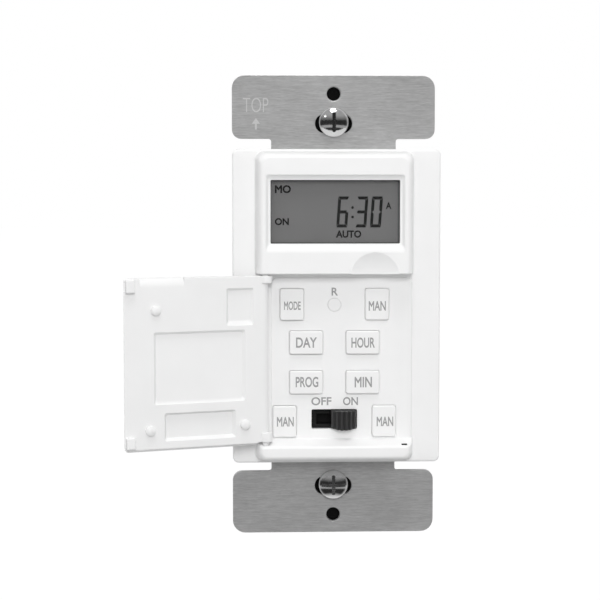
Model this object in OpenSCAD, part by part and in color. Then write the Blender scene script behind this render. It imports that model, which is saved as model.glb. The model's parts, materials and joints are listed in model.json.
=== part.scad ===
// Digital in-wall timer switch for one gang of a wall box, with its door swung open.
// Millimetres. +Z is up and the front faces -Y. The origin is the middle of the
// strap's rear face, which lies on the wall.

/* [Strap] */
// Width of the strap across its ears
strap_w = 46.4; // [45.4:0.1:50]
// Height of the strap over both ears
strap_h = 105.2; // [103:0.1:110]
// Thickness of the strap's sheet steel
strap_t = 1.3; // [1:0.1:1.6]
// Height of one ear
ear_h = 14.4; // [13.5:0.1:15.4]
// Corner radius of the ears
ear_r = 3.2; // [1:0.1:5]
// Width of the neck between an ear and the middle
neck_w = 28.5; // [20:0.5:29]
// Width of the strap's middle, behind the cover
middle_w = 45; // [44.8:0.1:46]
// Height of the strap's middle, behind the cover
middle_h = 70.6; // [70.2:0.1:71.4]
// Width of the window in the strap's middle
strap_window_w = 36; // [34.6:0.1:37]
// Height of the window in the strap's middle
strap_window_h = 60.4; // [60.2:0.1:61]
// Corner radius of the window in the strap's middle
strap_window_r = 3; // [1:0.1:4]
// Distance between the two box screws
box_pitch = 83.34; // [83:0.02:84]
// Length of the oblong slot for a box screw
box_slot_l = 8.5; // [6:0.1:11]
// Width of the oblong slot for a box screw
box_slot_w = 4.3; // [4:0.1:4.8]
// Distance between the two wall plate holes
wall_plate_pitch = 96.84; // [96:0.02:97.2]
// Diameter of a wall plate hole
wall_plate_hole_d = 3.1; // [2.8:0.1:3.6]
// Width of the bent tab for the ground screw
ground_tab_w = 9; // [8:0.1:11]
// Reach of the ground tab behind the strap's rear face
ground_tab_reach = 11.5; // [11:0.1:14]
// Distance of the ground screw from the tab's end
ground_screw_inset = 4.6; // [4:0.1:6]

/* [Box screws] */
// Diameter of a box screw's thread
box_screw_d = 3.5; // [3:0.1:3.8]
// Diameter of a box screw's neck, in front of its thread
box_neck_d = 3; // [2.6:0.1:3.2]
// Reach of a box screw's neck behind its retainer
box_neck_reach = 0.4; // [0.2:0.1:1]
// Reach of a box screw behind the strap's rear face
box_screw_reach = 19; // [10:0.5:25]
// Diameter of a box screw's domed head
box_head_d = 6.8; // [6:0.1:8]
// Height of a box screw's head below the dome
box_head_rim = 0.8; // [0.5:0.1:1.5]
// Height of the dome on a box screw's head
box_head_dome = 1.4; // [0.8:0.1:2]
// Width of the crossed slots in a box screw's head
box_cross_w = 0.9; // [0.6:0.1:1.2]
// Diameter of a fibre retainer
retainer_d = 9; // [7:0.1:11]
// Thickness of a fibre retainer
retainer_t = 0.8; // [0.4:0.1:1.2]

/* [Cover] */
// Width of the cover's flange plate
plate_w = 47.4; // [46.6:0.1:50]
// Height of the cover's flange plate
plate_h = 71.6; // [71.2:0.1:74]
// Shift of the flange plate to the right of the middle
plate_shift = 0.55; // [0:0.05:0.7]
// Height of the flange plate's face above the strap
plate_rise = 3; // [2.6:0.1:3.4]
// Corner radius of the flange plate
plate_r = 1.8; // [0.5:0.1:3]
// Width of the raised face where it meets the flange plate
bezel_w = 35.8; // [35.4:0.1:37]
// Height of the raised face where it meets the flange plate
bezel_h = 70.6; // [70:0.1:71]
// Distance that the raised face's sides curve inwards
bezel_inset = 1.65; // [0.8:0.05:1.8]
// Corner radius of the raised face
bezel_r = 2; // [1:0.1:3]
// Height of the raised face above the strap
face_rise = 7.7; // [7.5:0.1:9]
// Height of the key panel's face above the strap
panel_rise = 3.7; // [3.5:0.1:4]
// Thickness of the key panel
panel_t = 1.6; // [1.4:0.1:1.7]
// Depth of the hinge channel below the key panel's face
channel_depth = 0.4; // [0.1:0.05:0.5]
// Reach of the hinge channel past the hinge axis
channel_reach = 1.1; // [0.6:0.05:1.2]
// Lower edge of the display block
block_edge_z = 7.6; // [7:0.1:8.4]
// Foot of the lower lip's slope, on the key panel
lip_foot_z = -29.9; // [-30.2:0.05:-29.6]
// Front edge of the lower lip's slope
lip_edge_z = -31.4; // [-31.8:0.05:-31]
// Radius of the thumb scoop's ball
scoop_ball_r = 12; // [9:0.5:20]
// Half width of the thumb scoop's arch
scoop_arch_r = 5.3; // [3:0.1:5.5]
// Middle of the thumb scoop
scoop_x = 8.95; // [0:0.05:9.5]
// Drop of the thumb scoop's middle below the block's edge
scoop_drop = 0.5; // [0:0.1:1]
// Width of the door catch's slot
catch_w = 1.4; // [0.8:0.1:1.8]
// Middle of the door catch's slot
catch_x = 15.8; // [13:0.1:16]
// Lip in front of the door catch's slot
catch_lip = 0.2; // [0.1:0.05:0.5]
// Thickness of the door catch's slot
catch_t = 0.8; // [0.4:0.1:1.2]
// Depth of the door catch's slot below the lip's edge
catch_depth = 1.2; // [0.6:0.1:2]
// Height of the bar between the display's space and the key space
display_bar_h = 1.2; // [0.8:0.1:1.6]
// Room between a key's rim and the end of the key space
key_space_margin = 0.4; // [0.2:0.1:0.6]

/* [Display] */
// Width of the display opening
display_w = 29.2; // [24:0.1:29.4]
// Height of the display opening
display_h = 14.3; // [10:0.1:14.6]
// Middle height of the display opening
display_z = 21.65; // [21.4:0.05:21.8]
// Width of the sloped frame beside the opening
frame_side = 0.7; // [0.3:0.05:0.8]
// Height of the sloped frame above the opening
frame_top = 0.9; // [0.3:0.05:1.2]
// Height of the sloped frame below the opening
frame_bottom = 1.8; // [0.5:0.05:1.8]
// Thickness of the face in front of the window
face_t = 1.4; // [1:0.1:1.8]
// Width of the display glass, its window and its holder
glass_w = 31.2; // [30.4:0.1:31.4]
// Height of the display glass, its window and its holder
glass_h = 17.2; // [16:0.1:17.4]
// Reach of the glass above the display opening
glass_reach = 1; // [0.6:0.1:1.2]
// Thickness of the clear window
lens_t = 1; // [0.6:0.1:1.4]
// Thickness of the display glass
glass_t = 2.6; // [1.8:0.1:2.8]
// Thickness of the display holder's walls
holder_wall = 2; // [1.6:0.1:2.2]
// Thickness of an elastomer contact strip
strip_t = 2.2; // [1.5:0.1:2.6]

/* [Door] */
// Angle from the closed door to the door as drawn
door_open = 160.4; // [20:0.2:174]
// Hinge axis, to the left of the middle
hinge_x = 15.7; // [15.6:0.05:15.8]
// Thickness of the door
door_t = 2.4; // [2:0.1:2.6]
// Gap between the closed door and the cover around it
door_gap = 0.3; // [0.25:0.05:0.4]
// Radius of the hinge knuckles
knuckle_r = 1.55; // [1.3:0.05:1.6]
// Height of a hinge knuckle
knuckle_h = 1.7; // [1:0.1:3]
// Diameter of a hinge pin
pin_d = 1.6; // [1.2:0.1:1.7]
// Length of a hinge pin
pin_l = 2.4; // [1.5:0.1:2.6]
// Radial clearance of a hinge pin
pin_clearance = 0.05; // [0.03:0.01:0.1]
// Distance from the hinge axis back to the door's edge between the knuckles
door_heel = 0.3; // [0:0.05:0.6]
// Length of the door's lower corner that is cut back beside the hinge
hinge_relief = 2.8; // [2.6:0.1:4]
// Depth of the door's relief pockets
pocket_depth = 0.9; // [0.5:0.05:1.2]
// Margin of a relief pocket around the keys behind it
pocket_margin = 0.6; // [0.4:0.1:0.8]
// Side margin of the slide knob's relief pocket
knob_pocket_margin = 3; // [1:0.1:3]
// Diameter of a door peg
peg_d = 2.5; // [1.5:0.1:3]
// Radius of a door peg's round tip
peg_ball_r = 1.6; // [1.5:0.1:3]
// Gap between a peg and its key when the door is closed
peg_gap = 0.25; // [0.2:0.05:0.4]
// Width of a corner block on the door
corner_block_w = 2; // [1:0.1:2.2]
// Height of a corner block on the door
corner_block_h = 2.9; // [1:0.1:3.5]
// Rise of a corner block above the door's inner face
corner_block_rise = 1.1; // [0.5:0.1:1.2]
// Gap between a corner block and the door's end
corner_block_gap = 0.3; // [0.1:0.1:0.8]
// Length of the bevelled finger lip
finger_lip_l = 10.2; // [4:0.1:10.4]
// Height of the bevelled finger lip
finger_lip_h = 1.9; // [0.5:0.1:2]
// Depth of the bevelled finger lip
finger_lip_d = 1.4; // [0.6:0.1:1.6]

/* [Keys] */
// Width of an upright key
tall_key_w = 5.4; // [4.4:0.1:5.6]
// Height of an upright key
tall_key_h = 7.2; // [6:0.1:7.4]
// Width of a middle key
wide_key_w = 7.6; // [6:0.1:8]
// Height of a middle key
wide_key_h = 5.3; // [4:0.1:5.6]
// Corner radius of the keys
key_r = 0.5; // [0.2:0.05:1]
// Distance of the upper keys from the middle
upper_key_x = 9.7; // [9.4:0.05:9.9]
// Height of the upper keys
upper_key_z = 0.6; // [0.4:0.05:0.8]
// Distance of the middle keys from the middle
middle_key_x = 6.45; // [6.2:0.05:6.8]
// Height of the day and hour keys
day_row_z = -8.1; // [-8.4:0.05:-7.9]
// Height of the program and minute keys
program_row_z = -17.2; // [-17.4:0.05:-16.6]
// Distance of the lower keys from the middle
lower_key_x = 11.35; // [11.2:0.05:11.5]
// Height of the lower keys
lower_key_z = -26.2; // [-26.3:0.05:-26]
// Rise of the mode and middle keys above the panel
key_rise = 0.7; // [0.3:0.05:1]
// Rise of the manual keys above the panel
manual_rise = 0.4; // [0.2:0.05:0.5]
// Gap around a key in the panel
key_gap = 0.25; // [0.15:0.05:0.3]
// Width of the rim that keeps a key behind the panel
key_rim = 0.6; // [0.4:0.05:0.6]
// Thickness of the rim that keeps a key behind the panel
key_rim_t = 0.8; // [0.6:0.05:0.9]
// Play between a key's rim and the panel
key_play = 0.3; // [0.2:0.05:0.4]
// Travel of a key
key_travel = 0.5; // [0.3:0.05:0.6]
// Diameter of the reset button
reset_d = 3; // [2.4:0.1:4]
// Height of the reset button
reset_z = 0.5; // [0:0.05:1]
// Rise of the reset button above the panel
reset_rise = 0.15; // [0.1:0.05:0.4]
// Width of a tact switch body
tact_w = 6; // [5:0.1:6]
// Height of a tact switch body above its board
tact_h = 3.5; // [3:0.1:4]
// Diameter of a tact switch plunger
plunger_d = 3.5; // [2.5:0.1:3.6]
// Length of a tact switch plunger
plunger_l = 2.8; // [2:0.1:3]
// Radial clearance of a plunger in its switch body
plunger_clearance = 0.08; // [0.04:0.01:0.1]

/* [Slide switch] */
// Width of the knob's slot
knob_slot_w = 10.4; // [9:0.1:11]
// Height of the knob's slot
knob_slot_h = 4.2; // [3.4:0.1:4.6]
// Height of the slot's middle
knob_z = -25.85; // [-26:0.05:-25.6]
// Width of the slide knob
knob_w = 5.7; // [4:0.1:6]
// Rise of the slide knob above the panel
knob_rise = 2.2; // [1:0.1:2.2]
// Gap around the slide knob in its slot
knob_gap = 0.2; // [0.15:0.05:0.3]
// Bulge of the slide knob's front
knob_bulge = 0.6; // [0.3:0.1:0.8]
// Number of grooves across the slide knob
knob_grooves = 5; // [3:1:6]
// Width of a knob groove
groove_w = 0.5; // [0.3:0.05:0.6]
// Depth of a knob groove below the knob's top
groove_depth = 0.95; // [0.7:0.05:1.2]
// Width of the slide switch body
slide_body_w = 14.4; // [13:0.1:14.6]
// Height of the slide switch body
slide_body_h = 6.4; // [5.4:0.1:6.6]
// Width of the stem under the knob
stem_w = 3; // [2:0.1:3.4]
// Height of the stem under the knob
stem_h = 2; // [1.4:0.1:2.4]
// Reach of the stem into the switch body
stem_reach = 2; // [1:0.1:2.4]
// Thickness of the slide switch's contact
contact_t = 0.4; // [0.2:0.1:0.8]

/* [Boards] */
// Width of the control board
control_w = 33.4; // [33.2:0.1:36]
// Gap between the control board's ends and the housing's walls
control_end_gap = 3; // [2:0.1:3.2]
// Thickness of the control board
control_t = 1.2; // [0.8:0.1:1.6]
// Distance of a board screw from the middle
board_screw_x = 14.6; // [14.4:0.05:14.8]
// Height of the upper board screws
board_screw_top_z = 7.6; // [7.4:0.05:8]
// Height of the lower board screws
board_screw_low_z = -17; // [-17.4:0.05:-15]
// Radius of the cover's posts for the board screws
post_r = 2; // [1.7:0.1:2.1]
// Floor of a post's hole, in front of the board screw
post_floor = 0.2; // [0.1:0.05:0.4]
// Diameter of a board screw
board_screw_d = 2; // [1.6:0.1:2.2]
// Diameter of a board screw's head
board_head_d = 3.8; // [3:0.1:4]
// Height of a board screw's head
board_head_h = 1.3; // [0.8:0.1:1.6]
// Space between the two boards
board_space = 5.2; // [5:0.1:7]
// Gap between the power board and the housing's walls
board_clearance = 0.3; // [0.2:0.05:0.6]
// Thickness of the power board
power_t = 1.6; // [1:0.1:2]
// Distance between two link pins
link_pitch = 2.54; // [2:0.01:2.54]
// Number of link pins
link_count = 6; // [3:1:6]
// Height of the row of link pins
link_z = 8; // [7:0.1:8.4]
// Diameter of a link pin
link_pin_d = 0.64; // [0.5:0.02:0.8]
// Length of a link pin in front of the control board
link_pin_stub = 0.6; // [0.3:0.1:1]
// Height of the link header on the control board
link_header_h = 2.5; // [2:0.1:3]
// Diameter of the backup cell
cell_d = 12.5; // [8:0.1:14]
// Thickness of the backup cell
cell_t = 2; // [1.5:0.1:2.6]
// Thickness of the cell clip's metal
clip_t = 0.3; // [0.2:0.05:0.5]
// Width and height of the timer chip
chip_w = 10; // [6:0.5:10]
// Thickness of the timer chip
chip_t = 1.6; // [1:0.1:2.4]
// Diameter of the clock crystal's can
crystal_d = 3; // [2:0.1:4]
// Length of the clock crystal's can
crystal_l = 7; // [5:0.1:9]
// Gap between the chip and the parts beside and below it
chip_gap = 2; // [1:0.1:3]
// Width of the insulation sheet
sheet_w = 24; // [16:0.5:26]
// Gap between the insulation sheet's ends and the power board's
sheet_margin = 4; // [2:0.5:8]
// Thickness of the insulation sheet
sheet_t = 0.25; // [0.1:0.05:0.5]

/* [Power parts] */
// Width of the relay
relay_w = 15.5; // [12:0.5:16]
// Height of the relay
relay_h = 19; // [12:0.5:24]
// Depth of the relay behind its board
relay_d = 15; // [10:0.5:16]
// Lower edge of the relay and of the film capacitor
relay_low_z = 4.5; // [0:0.5:8]
// Width of the film capacitor
film_w = 7; // [5:0.5:7.5]
// Height of the film capacitor
film_h = 18; // [10:0.5:24]
// Depth of the film capacitor behind its board
film_d = 12; // [8:0.5:16]
// Diameter of a filter capacitor
filter_d = 8; // [5:0.5:8]
// Length of a filter capacitor
filter_l = 12; // [8:0.5:15]
// Diameter of the varistor
varistor_d = 9; // [6:0.5:10]
// Thickness of the varistor
varistor_t = 4; // [3:0.1:4.4]
// Width of the rectifier
rectifier_w = 8; // [6:0.1:9]
// Height of the rectifier
rectifier_h = 6.5; // [5:0.1:8]
// Depth of the rectifier behind its board
rectifier_d = 3.2; // [2:0.1:5]
// Diameter of the fuse
fuse_d = 4; // [3:0.1:5]
// Length of the fuse
fuse_l = 11; // [8:0.5:12]
// Gap between neighbouring parts on the power board
part_gap = 0.7; // [0.4:0.1:1.2]
// Height of the varistor and the fuse on their leads
lead_lift = 0.8; // [0.4:0.1:1.5]
// Radius of a component lead
lead_r = 0.4; // [0.25:0.05:0.5]

/* [Housing] */
// Width of the rear housing
housing_w = 41.6; // [41.2:0.1:42]
// Height of the rear housing
housing_h = 70; // [66:0.1:74]
// Depth of the rear housing behind the strap
housing_d = 29; // [28:0.1:34]
// Wall of the rear housing
housing_wall = 1.8; // [1.4:0.1:1.8]
// Floor of the rear housing
housing_floor = 2; // [1.5:0.1:2.5]
// Corner radius of the rear housing
housing_r = 3; // [1.5:0.1:4]
// Distance of a housing screw from the middle, sideways
housing_screw_x = 15.5; // [15.3:0.05:15.6]
// Distance of a housing screw from the middle, up and down
housing_screw_z = 32.5; // [32.4:0.05:32.7]
// Radius of a housing screw's column
column_r = 2.2; // [2:0.1:2.4]
// Diameter of a housing screw
housing_screw_d = 2.4; // [2:0.1:2.5]
// Length of a housing screw's thread in the cover
cover_thread_l = 4.6; // [3:0.1:4.8]
// Diameter of a housing screw's head
housing_head_d = 4.2; // [3.4:0.1:4.4]
// Height of a housing screw's head
housing_head_h = 1.5; // [1:0.1:2]
// Width of the crossed slots in a housing screw's head
housing_cross_w = 0.7; // [0.4:0.1:1]
// Length of the crossed slots in a housing screw's head
housing_cross_l = 2.5; // [1.6:0.1:3]
// Radial clearance of a screw in a clear hole
screw_clearance = 0.15; // [0.1:0.01:0.2]
// Radial clearance of a screw in its thread
thread_clearance = 0.05; // [0.03:0.01:0.08]

/* [Terminals] */
// Distance of a terminal from the middle, up and down
terminal_z = 14; // [13:0.1:15]
// Width of a terminal's pocket
pocket_w = 10; // [9.4:0.1:10.6]
// Depth of a terminal's pocket into the side
pocket_d = 6; // [6:0.1:6.4]
// Wall around a terminal's pocket
pocket_wall = 1.6; // [1.2:0.1:2]
// Wall behind a terminal's pocket
pocket_back_wall = 1.5; // [1:0.1:2]
// Thickness of a terminal plate
terminal_t = 1.2; // [0.8:0.1:1.4]
// Space for the wire between plate and clamp
wire_space = 2.2; // [2.1:0.1:2.4]
// Thickness of a terminal clamp
clamp_t = 1; // [0.8:0.1:1.2]
// Gap between a clamp and the front of its pocket
clamp_inset = 2; // [0.5:0.1:3]
// Diameter of a terminal screw
terminal_screw_d = 3.4; // [3:0.1:3.5]
// Diameter of a terminal screw's head
terminal_head_d = 6.4; // [5:0.1:7]
// Width of the slot in a terminal or ground screw's head
screw_slot_w = 1; // [0.6:0.1:1.2]
// Depth of the slot in a terminal or ground screw's head
screw_slot_d = 0.8; // [0.4:0.1:1.2]
// Diameter of a wire hole in the back
wire_hole_d = 2.1; // [1.6:0.05:2.1]
// Distance of a wire hole from its terminal's middle
wire_hole_offset = 3.2; // [3.1:0.05:3.4]
// Width of a terminal's tail
tail_w = 5; // [2:0.1:6]
// Clearance around a terminal's tail
tail_clearance = 0.1; // [0.05:0.05:0.2]
// Length of a terminal's tail past the power board
tail_stub = 0.8; // [0.3:0.1:1.5]
// Diameter of the ground screw
ground_screw_d = 3.4; // [3:0.1:3.8]
// Diameter of the ground screw's head
ground_head_d = 7; // [6:0.1:8]
// Height of the ground screw's head
ground_head_h = 1.8; // [1:0.1:1.8]

/* [Hidden] */

$fn = 48;
hull_fn = 32;
// How far a cut runs past a face
cut = 1;
// How far a fused piece reaches into what carries it
sink = 0.2;
// A cut that ends on a face goes this much past it
hair = 0.01;
// Plain gap between neighbours
edge_gap = 0.3;
sides = [-1, 1];

cover_colour = "whitesmoke";
steel_colour = "silver";
brass_colour = "goldenrod";
black_colour = "#202022";

// Depths along Y, front to back
strap_front = -strap_t;
plate_front = strap_front - plate_rise;
panel_front = strap_front - panel_rise;
panel_back = panel_front + panel_t;
face_front = strap_front - face_rise;
lens_front = face_front + face_t;
glass_front = lens_front + lens_t;
holder_front = glass_front + glass_t;
rim_front = panel_back + key_play;
rim_back = rim_front + key_rim_t;
tact_front = rim_back + key_travel + edge_gap;
control_front = tact_front + tact_h;
control_back = control_front + control_t;
power_front = control_back + board_space;
power_back = power_front + power_t;
housing_back = housing_d;
housing_inside_back = housing_d - housing_floor;

// Inside of the housing, and the boards that fit it
inner_w = housing_w - 2 * housing_wall;
inner_h = housing_h - 2 * housing_wall;
inner_r = housing_r - housing_wall / 2;
power_w = inner_w - 2 * board_clearance;
power_h = inner_h - 2 * board_clearance;
control_h = inner_h - 2 * control_end_gap;

// Heights along Z
display_low = display_z - display_h / 2;
display_high = display_z + display_h / 2;
glass_z = display_high + glass_reach - glass_h / 2;
cavity_w = glass_w + 2 * edge_gap;
cavity_h = glass_h + 2 * edge_gap;
key_space_low = lower_key_z - tall_key_h / 2 - key_rim - key_space_margin;
key_space_high = glass_z - cavity_h / 2 - display_bar_h;
key_space_w = 2 * (lower_key_x + tall_key_w / 2 + key_rim + edge_gap);

// Keys
tall_key = [tall_key_w, tall_key_h];
wide_key = [wide_key_w, wide_key_h];
mode_at = [-upper_key_x, upper_key_z];
manual_top_at = [upper_key_x, upper_key_z];
day_at = [-middle_key_x, day_row_z];
hour_at = [middle_key_x, day_row_z];
program_at = [-middle_key_x, program_row_z];
minute_at = [middle_key_x, program_row_z];
manual_left_at = [-lower_key_x, lower_key_z];
manual_right_at = [lower_key_x, lower_key_z];
reset_at = [0, reset_z];
tall_key_places = [mode_at, manual_top_at, manual_left_at, manual_right_at];
wide_key_places = [day_at, hour_at, program_at, minute_at];
manual_places = [manual_top_at, manual_left_at, manual_right_at];
knob_travel = knob_slot_w - knob_w - 2 * knob_gap;
knob_on_x = knob_travel / 2;
slide_front = panel_back + knob_gap;

// Door, as it lies when closed
door_front = face_front;
door_back = door_front + door_t;
hinge_y = door_front + knuckle_r;
door_top = block_edge_z - door_gap;
lip_slope = (lip_foot_z - lip_edge_z) / (face_rise - panel_rise);
knuckle_low = lip_z(hinge_y + knuckle_r) + door_gap;

// Screws and terminals
board_screw_rows = [board_screw_top_z, board_screw_low_z];
board_screw_places = [for (x = sides, z = board_screw_rows) [x * board_screw_x, z]];
housing_screw_places = [for (x = sides, z = sides) [x * housing_screw_x, z * housing_screw_z]];
side_x = housing_w / 2;
pocket_floor_x = side_x - pocket_d;
plate_outer_x = pocket_floor_x + terminal_t;
clamp_inner_x = plate_outer_x + wire_space;
clamp_outer_x = clamp_inner_x + clamp_t;
pocket_front = power_back + pocket_wall;
pocket_back = housing_inside_back - pocket_back_wall;
terminal_y = (pocket_front + pocket_back) / 2;
ground_x = side_x + edge_gap;
ground_y = ground_tab_reach - ground_screw_inset;
terminal_places = [for (x = sides, z = sides) [x, z * terminal_z]];
block_inner_x = pocket_floor_x - pocket_wall;
parts_x = block_inner_x - part_gap;
filter_z = relay_low_z - part_gap - filter_d / 2;
varistor_z = relay_low_z - part_gap - varistor_d / 2;
chip_top_z = -3;
cell_z = chip_top_z - chip_w - chip_gap - cell_d / 2;
link_places = [for (i = [0 : link_count - 1]) (i - (link_count - 1) / 2) * link_pitch];

// Height of the lower lip's slope at a given depth
function lip_z(y) = lip_foot_z - lip_slope * (panel_front - y);

// Inset and depth of the raised face's curved side, from foot (0) to face (90)
function flank_inset(a) = bezel_inset * (1 - cos(a));
function flank_y(a) = plate_front - (face_rise - plate_rise) * sin(a);
flank_steps = 6;
flank_step = 90 / flank_steps;

// An outline in X and Z, made thick from y0 to y1
module slab(y0, y1) {
    translate([0, y1, 0]) rotate([90, 0, 0]) linear_extrude(y1 - y0) children();
}

// A rectangle with round corners
module rounded(w, h, r) {
    square([w - 2 * r, h], center = true);
    square([w, h - 2 * r], center = true);
    for (x = sides, z = sides) {
        translate([x * (w / 2 - r), z * (h / 2 - r)]) circle(r);
    }
}

// A slot with round ends
module oblong(l, w) {
    square([l - w, w], center = true);
    for (x = sides) translate([x * (l - w) / 2, 0]) circle(d = w);
}

// Round bars along X, Y and Z
module rod_x(r, x0, x1, y, z) {
    translate([x0, y, z]) rotate([0, 90, 0]) cylinder(r = r, h = x1 - x0);
}
module rod_y(r, y0, y1, x, z) {
    translate([x, y1, z]) rotate([90, 0, 0]) cylinder(r = r, h = y1 - y0);
}
module rod_z(r, z0, z1, x, y) {
    translate([x, y, z0]) cylinder(r = r, h = z1 - z0);
}

// A block between two corners
module block(low, high) {
    translate(low) cube(high - low);
}

// The strap's flat outline without holes
module strap_outline() {
    ear_z = strap_h / 2 - ear_h / 2;
    for (z = sides) translate([0, z * ear_z]) rounded(strap_w, ear_h, ear_r);
    square([neck_w, strap_h - 2 * ear_h + 2 * cut], center = true);
    rounded(middle_w, middle_h, plate_r);
    translate([0, -ground_tab_w / 2]) square([ground_x + strap_t, ground_tab_w]);
}

module strap_holes() {
    rounded(strap_window_w, strap_window_h, strap_window_r);
    for (z = sides) {
        translate([0, z * box_pitch / 2]) oblong(box_slot_l, box_slot_w);
        translate([0, z * wall_plate_pitch / 2]) circle(d = wall_plate_hole_d);
    }
    for (p = housing_screw_places) translate(p) circle(housing_screw_d / 2 + screw_clearance);
}

module mounting_strap() {
    color(steel_colour) {
        slab(strap_front, 0) difference() {
            strap_outline();
            strap_holes();
        }
        difference() {
            block([ground_x, strap_front, -ground_tab_w / 2],
                  [ground_x + strap_t, ground_tab_reach, ground_tab_w / 2]);
            rod_x(ground_screw_d / 2 + thread_clearance, ground_x - cut, ground_x + strap_t + cut,
                  ground_y, 0);
        }
    }
}

// A domed head with its flat under side at y = 0, facing -Y
module domed_head(d, rim, dome, cross) {
    ball = (d * d / 4 + dome * dome) / (2 * dome);
    difference() {
        intersection() {
            rod_y(d / 2, -rim - dome, 0, 0, 0);
            translate([0, ball - rim - dome, 0]) sphere(ball);
        }
        block([-d, -2 * dome - rim, -cross / 2], [d, -rim - dome / 2, cross / 2]);
        block([-cross / 2, -2 * dome - rim, -d / 3], [cross / 2, -rim - dome / 2, d / 3]);
    }
}

module mounting_screws() {
    thread_start = retainer_t + box_neck_reach;
    color("gainsboro") for (z = sides) translate([0, 0, z * box_pitch / 2]) {
        translate([0, strap_front, 0])
            domed_head(box_head_d, box_head_rim, box_head_dome, box_cross_w);
        rod_y(box_neck_d / 2, strap_front, thread_start, 0, 0);
        rod_y(box_screw_d / 2, thread_start, box_screw_reach, 0, 0);
    }
}

// A washer with a flat where the housing would reach it
module screw_retainers() {
    color("saddlebrown") slab(0, retainer_t) for (z = sides) difference() {
        translate([0, z * box_pitch / 2]) circle(d = retainer_d);
        translate([0, z * box_pitch / 2]) circle(box_neck_d / 2 + thread_clearance);
        rounded(housing_w + 2 * edge_gap, housing_h + 2 * edge_gap, housing_r);
    }
}

// The raised face before its recesses: one curved-in ring above the other
module bezel_body() {
    hull() {
        slab(plate_front, plate_front + cut) rounded(bezel_w, bezel_h, bezel_r, $fn = hull_fn);
        for (i = [1 : flank_steps]) {
            a = i * flank_step;
            w = bezel_w - 2 * flank_inset(a);
            h = bezel_h - 2 * flank_inset(a);
            slab(flank_y(a), plate_front) rounded(w, h, bezel_r, $fn = hull_fn);
        }
    }
}

// What the closed door fills: open in front of the key panel, with the lower lip's slope
module door_recess() {
    reach = face_front - cut;
    translate([-bezel_w, 0, 0]) rotate([90, 0, 90]) linear_extrude(2 * bezel_w) polygon([
        [panel_front, lip_foot_z],
        [reach, lip_z(reach)],
        [reach, block_edge_z],
        [panel_front, block_edge_z]
    ]);
    block([-bezel_w, reach, lip_foot_z],
          [-hinge_x + channel_reach, panel_front + channel_depth, block_edge_z]);
}

// Sloped frame and clear opening in front of the display
module display_opening() {
    low = display_low - frame_bottom;
    high = display_high + frame_top;
    hull() {
        slab(face_front - 2 * hair, face_front - hair) translate([0, (low + high) / 2])
            square([display_w + 2 * frame_side, high - low], center = true);
        slab(lens_front - hair, lens_front) translate([0, display_z])
            square([display_w, display_h], center = true);
    }
    slab(lens_front - cut / 2, lens_front + cut) translate([0, display_z])
        square([display_w, display_h], center = true);
}

module scoop_ball() {
    ball_y = face_front - sqrt(scoop_ball_r * scoop_ball_r - scoop_arch_r * scoop_arch_r);
    translate([scoop_x, ball_y, block_edge_z - scoop_drop]) sphere(scoop_ball_r);
}

// Everything that goes through the key panel
module panel_holes() {
    slab(panel_front - cut, panel_back + cut) {
        for (p = tall_key_places) translate(p)
            rounded(tall_key_w + 2 * key_gap, tall_key_h + 2 * key_gap, key_r + key_gap);
        for (p = wide_key_places) translate(p)
            rounded(wide_key_w + 2 * key_gap, wide_key_h + 2 * key_gap, key_r + key_gap);
        translate(reset_at) circle(reset_d / 2 + key_gap);
        translate([0, knob_z]) square([knob_slot_w, knob_slot_h], center = true);
    }
}

module hinge_bores() {
    r = pin_d / 2 + pin_clearance;
    rod_z(r, block_edge_z - cut, door_top + pin_l + edge_gap, -hinge_x, hinge_y);
    rod_z(r, knuckle_low - pin_l - edge_gap, knuckle_low, -hinge_x, hinge_y);
}

module front_cover() {
    color(cover_colour) difference() {
        union() {
            difference() {
                union() {
                    slab(plate_front, strap_front) translate([plate_shift, 0])
                        rounded(plate_w, plate_h, plate_r);
                    bezel_body();
                }
                door_recess();
                display_opening();
                slab(lens_front, strap_front + cut) translate([0, glass_z])
                    square([cavity_w, cavity_h], center = true);
                slab(panel_back, strap_front + cut)
                    translate([-key_space_w / 2, key_space_low])
                    square([key_space_w, key_space_high - key_space_low]);
                scoop_ball();
            }
            for (p = board_screw_places) rod_y(post_r, panel_back - sink, control_front, p[0], p[1]);
        }
        panel_holes();
        hinge_bores();
        for (z = sides)
            rod_y(box_head_d / 2 + edge_gap, face_front - cut, strap_front + cut, 0, z * box_pitch / 2);
        block([catch_x - catch_w / 2, face_front + catch_lip, lip_edge_z - catch_depth],
              [catch_x + catch_w / 2, face_front + catch_lip + catch_t, lip_foot_z]);
        for (p = board_screw_places)
            rod_y(board_screw_d / 2 + thread_clearance, panel_back + post_floor, control_front + cut,
                  p[0], p[1]);
        for (p = housing_screw_places)
            rod_y(housing_screw_d / 2 + thread_clearance, strap_front - cover_thread_l - edge_gap,
                  strap_front + cut, p[0], p[1]);
    }
}

module display_window() {
    color("lightgray", 0.4) slab(lens_front, glass_front) translate([0, glass_z])
        square([glass_w, glass_h], center = true);
}

module display_glass() {
    color("darkgray") slab(glass_front, holder_front) translate([0, glass_z])
        square([glass_w, glass_h], center = true);
}

// Two slots in the holder keep the contact strips upright
module strip_places() {
    reach = glass_h / 2 - holder_wall - strip_t / 2;
    for (z = sides) translate([0, glass_z + z * reach]) children();
}

module display_holder() {
    color("ivory") slab(holder_front, control_front) difference() {
        translate([0, glass_z]) square([glass_w, glass_h], center = true);
        translate([0, glass_z])
            square([glass_w - 2 * holder_wall, glass_h - 2 * holder_wall], center = true);
    }
}

module contact_strips() {
    color("dimgray") slab(holder_front, control_front)
        strip_places() square([glass_w - 2 * holder_wall, strip_t], center = true);
}

// A pocket in the closed door's inner face, over an area of the key panel
module relief(x0, x1, z0, z1) {
    block([x0, door_back - pocket_depth, z0], [x1, door_back + cut, z1]);
}

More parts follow.
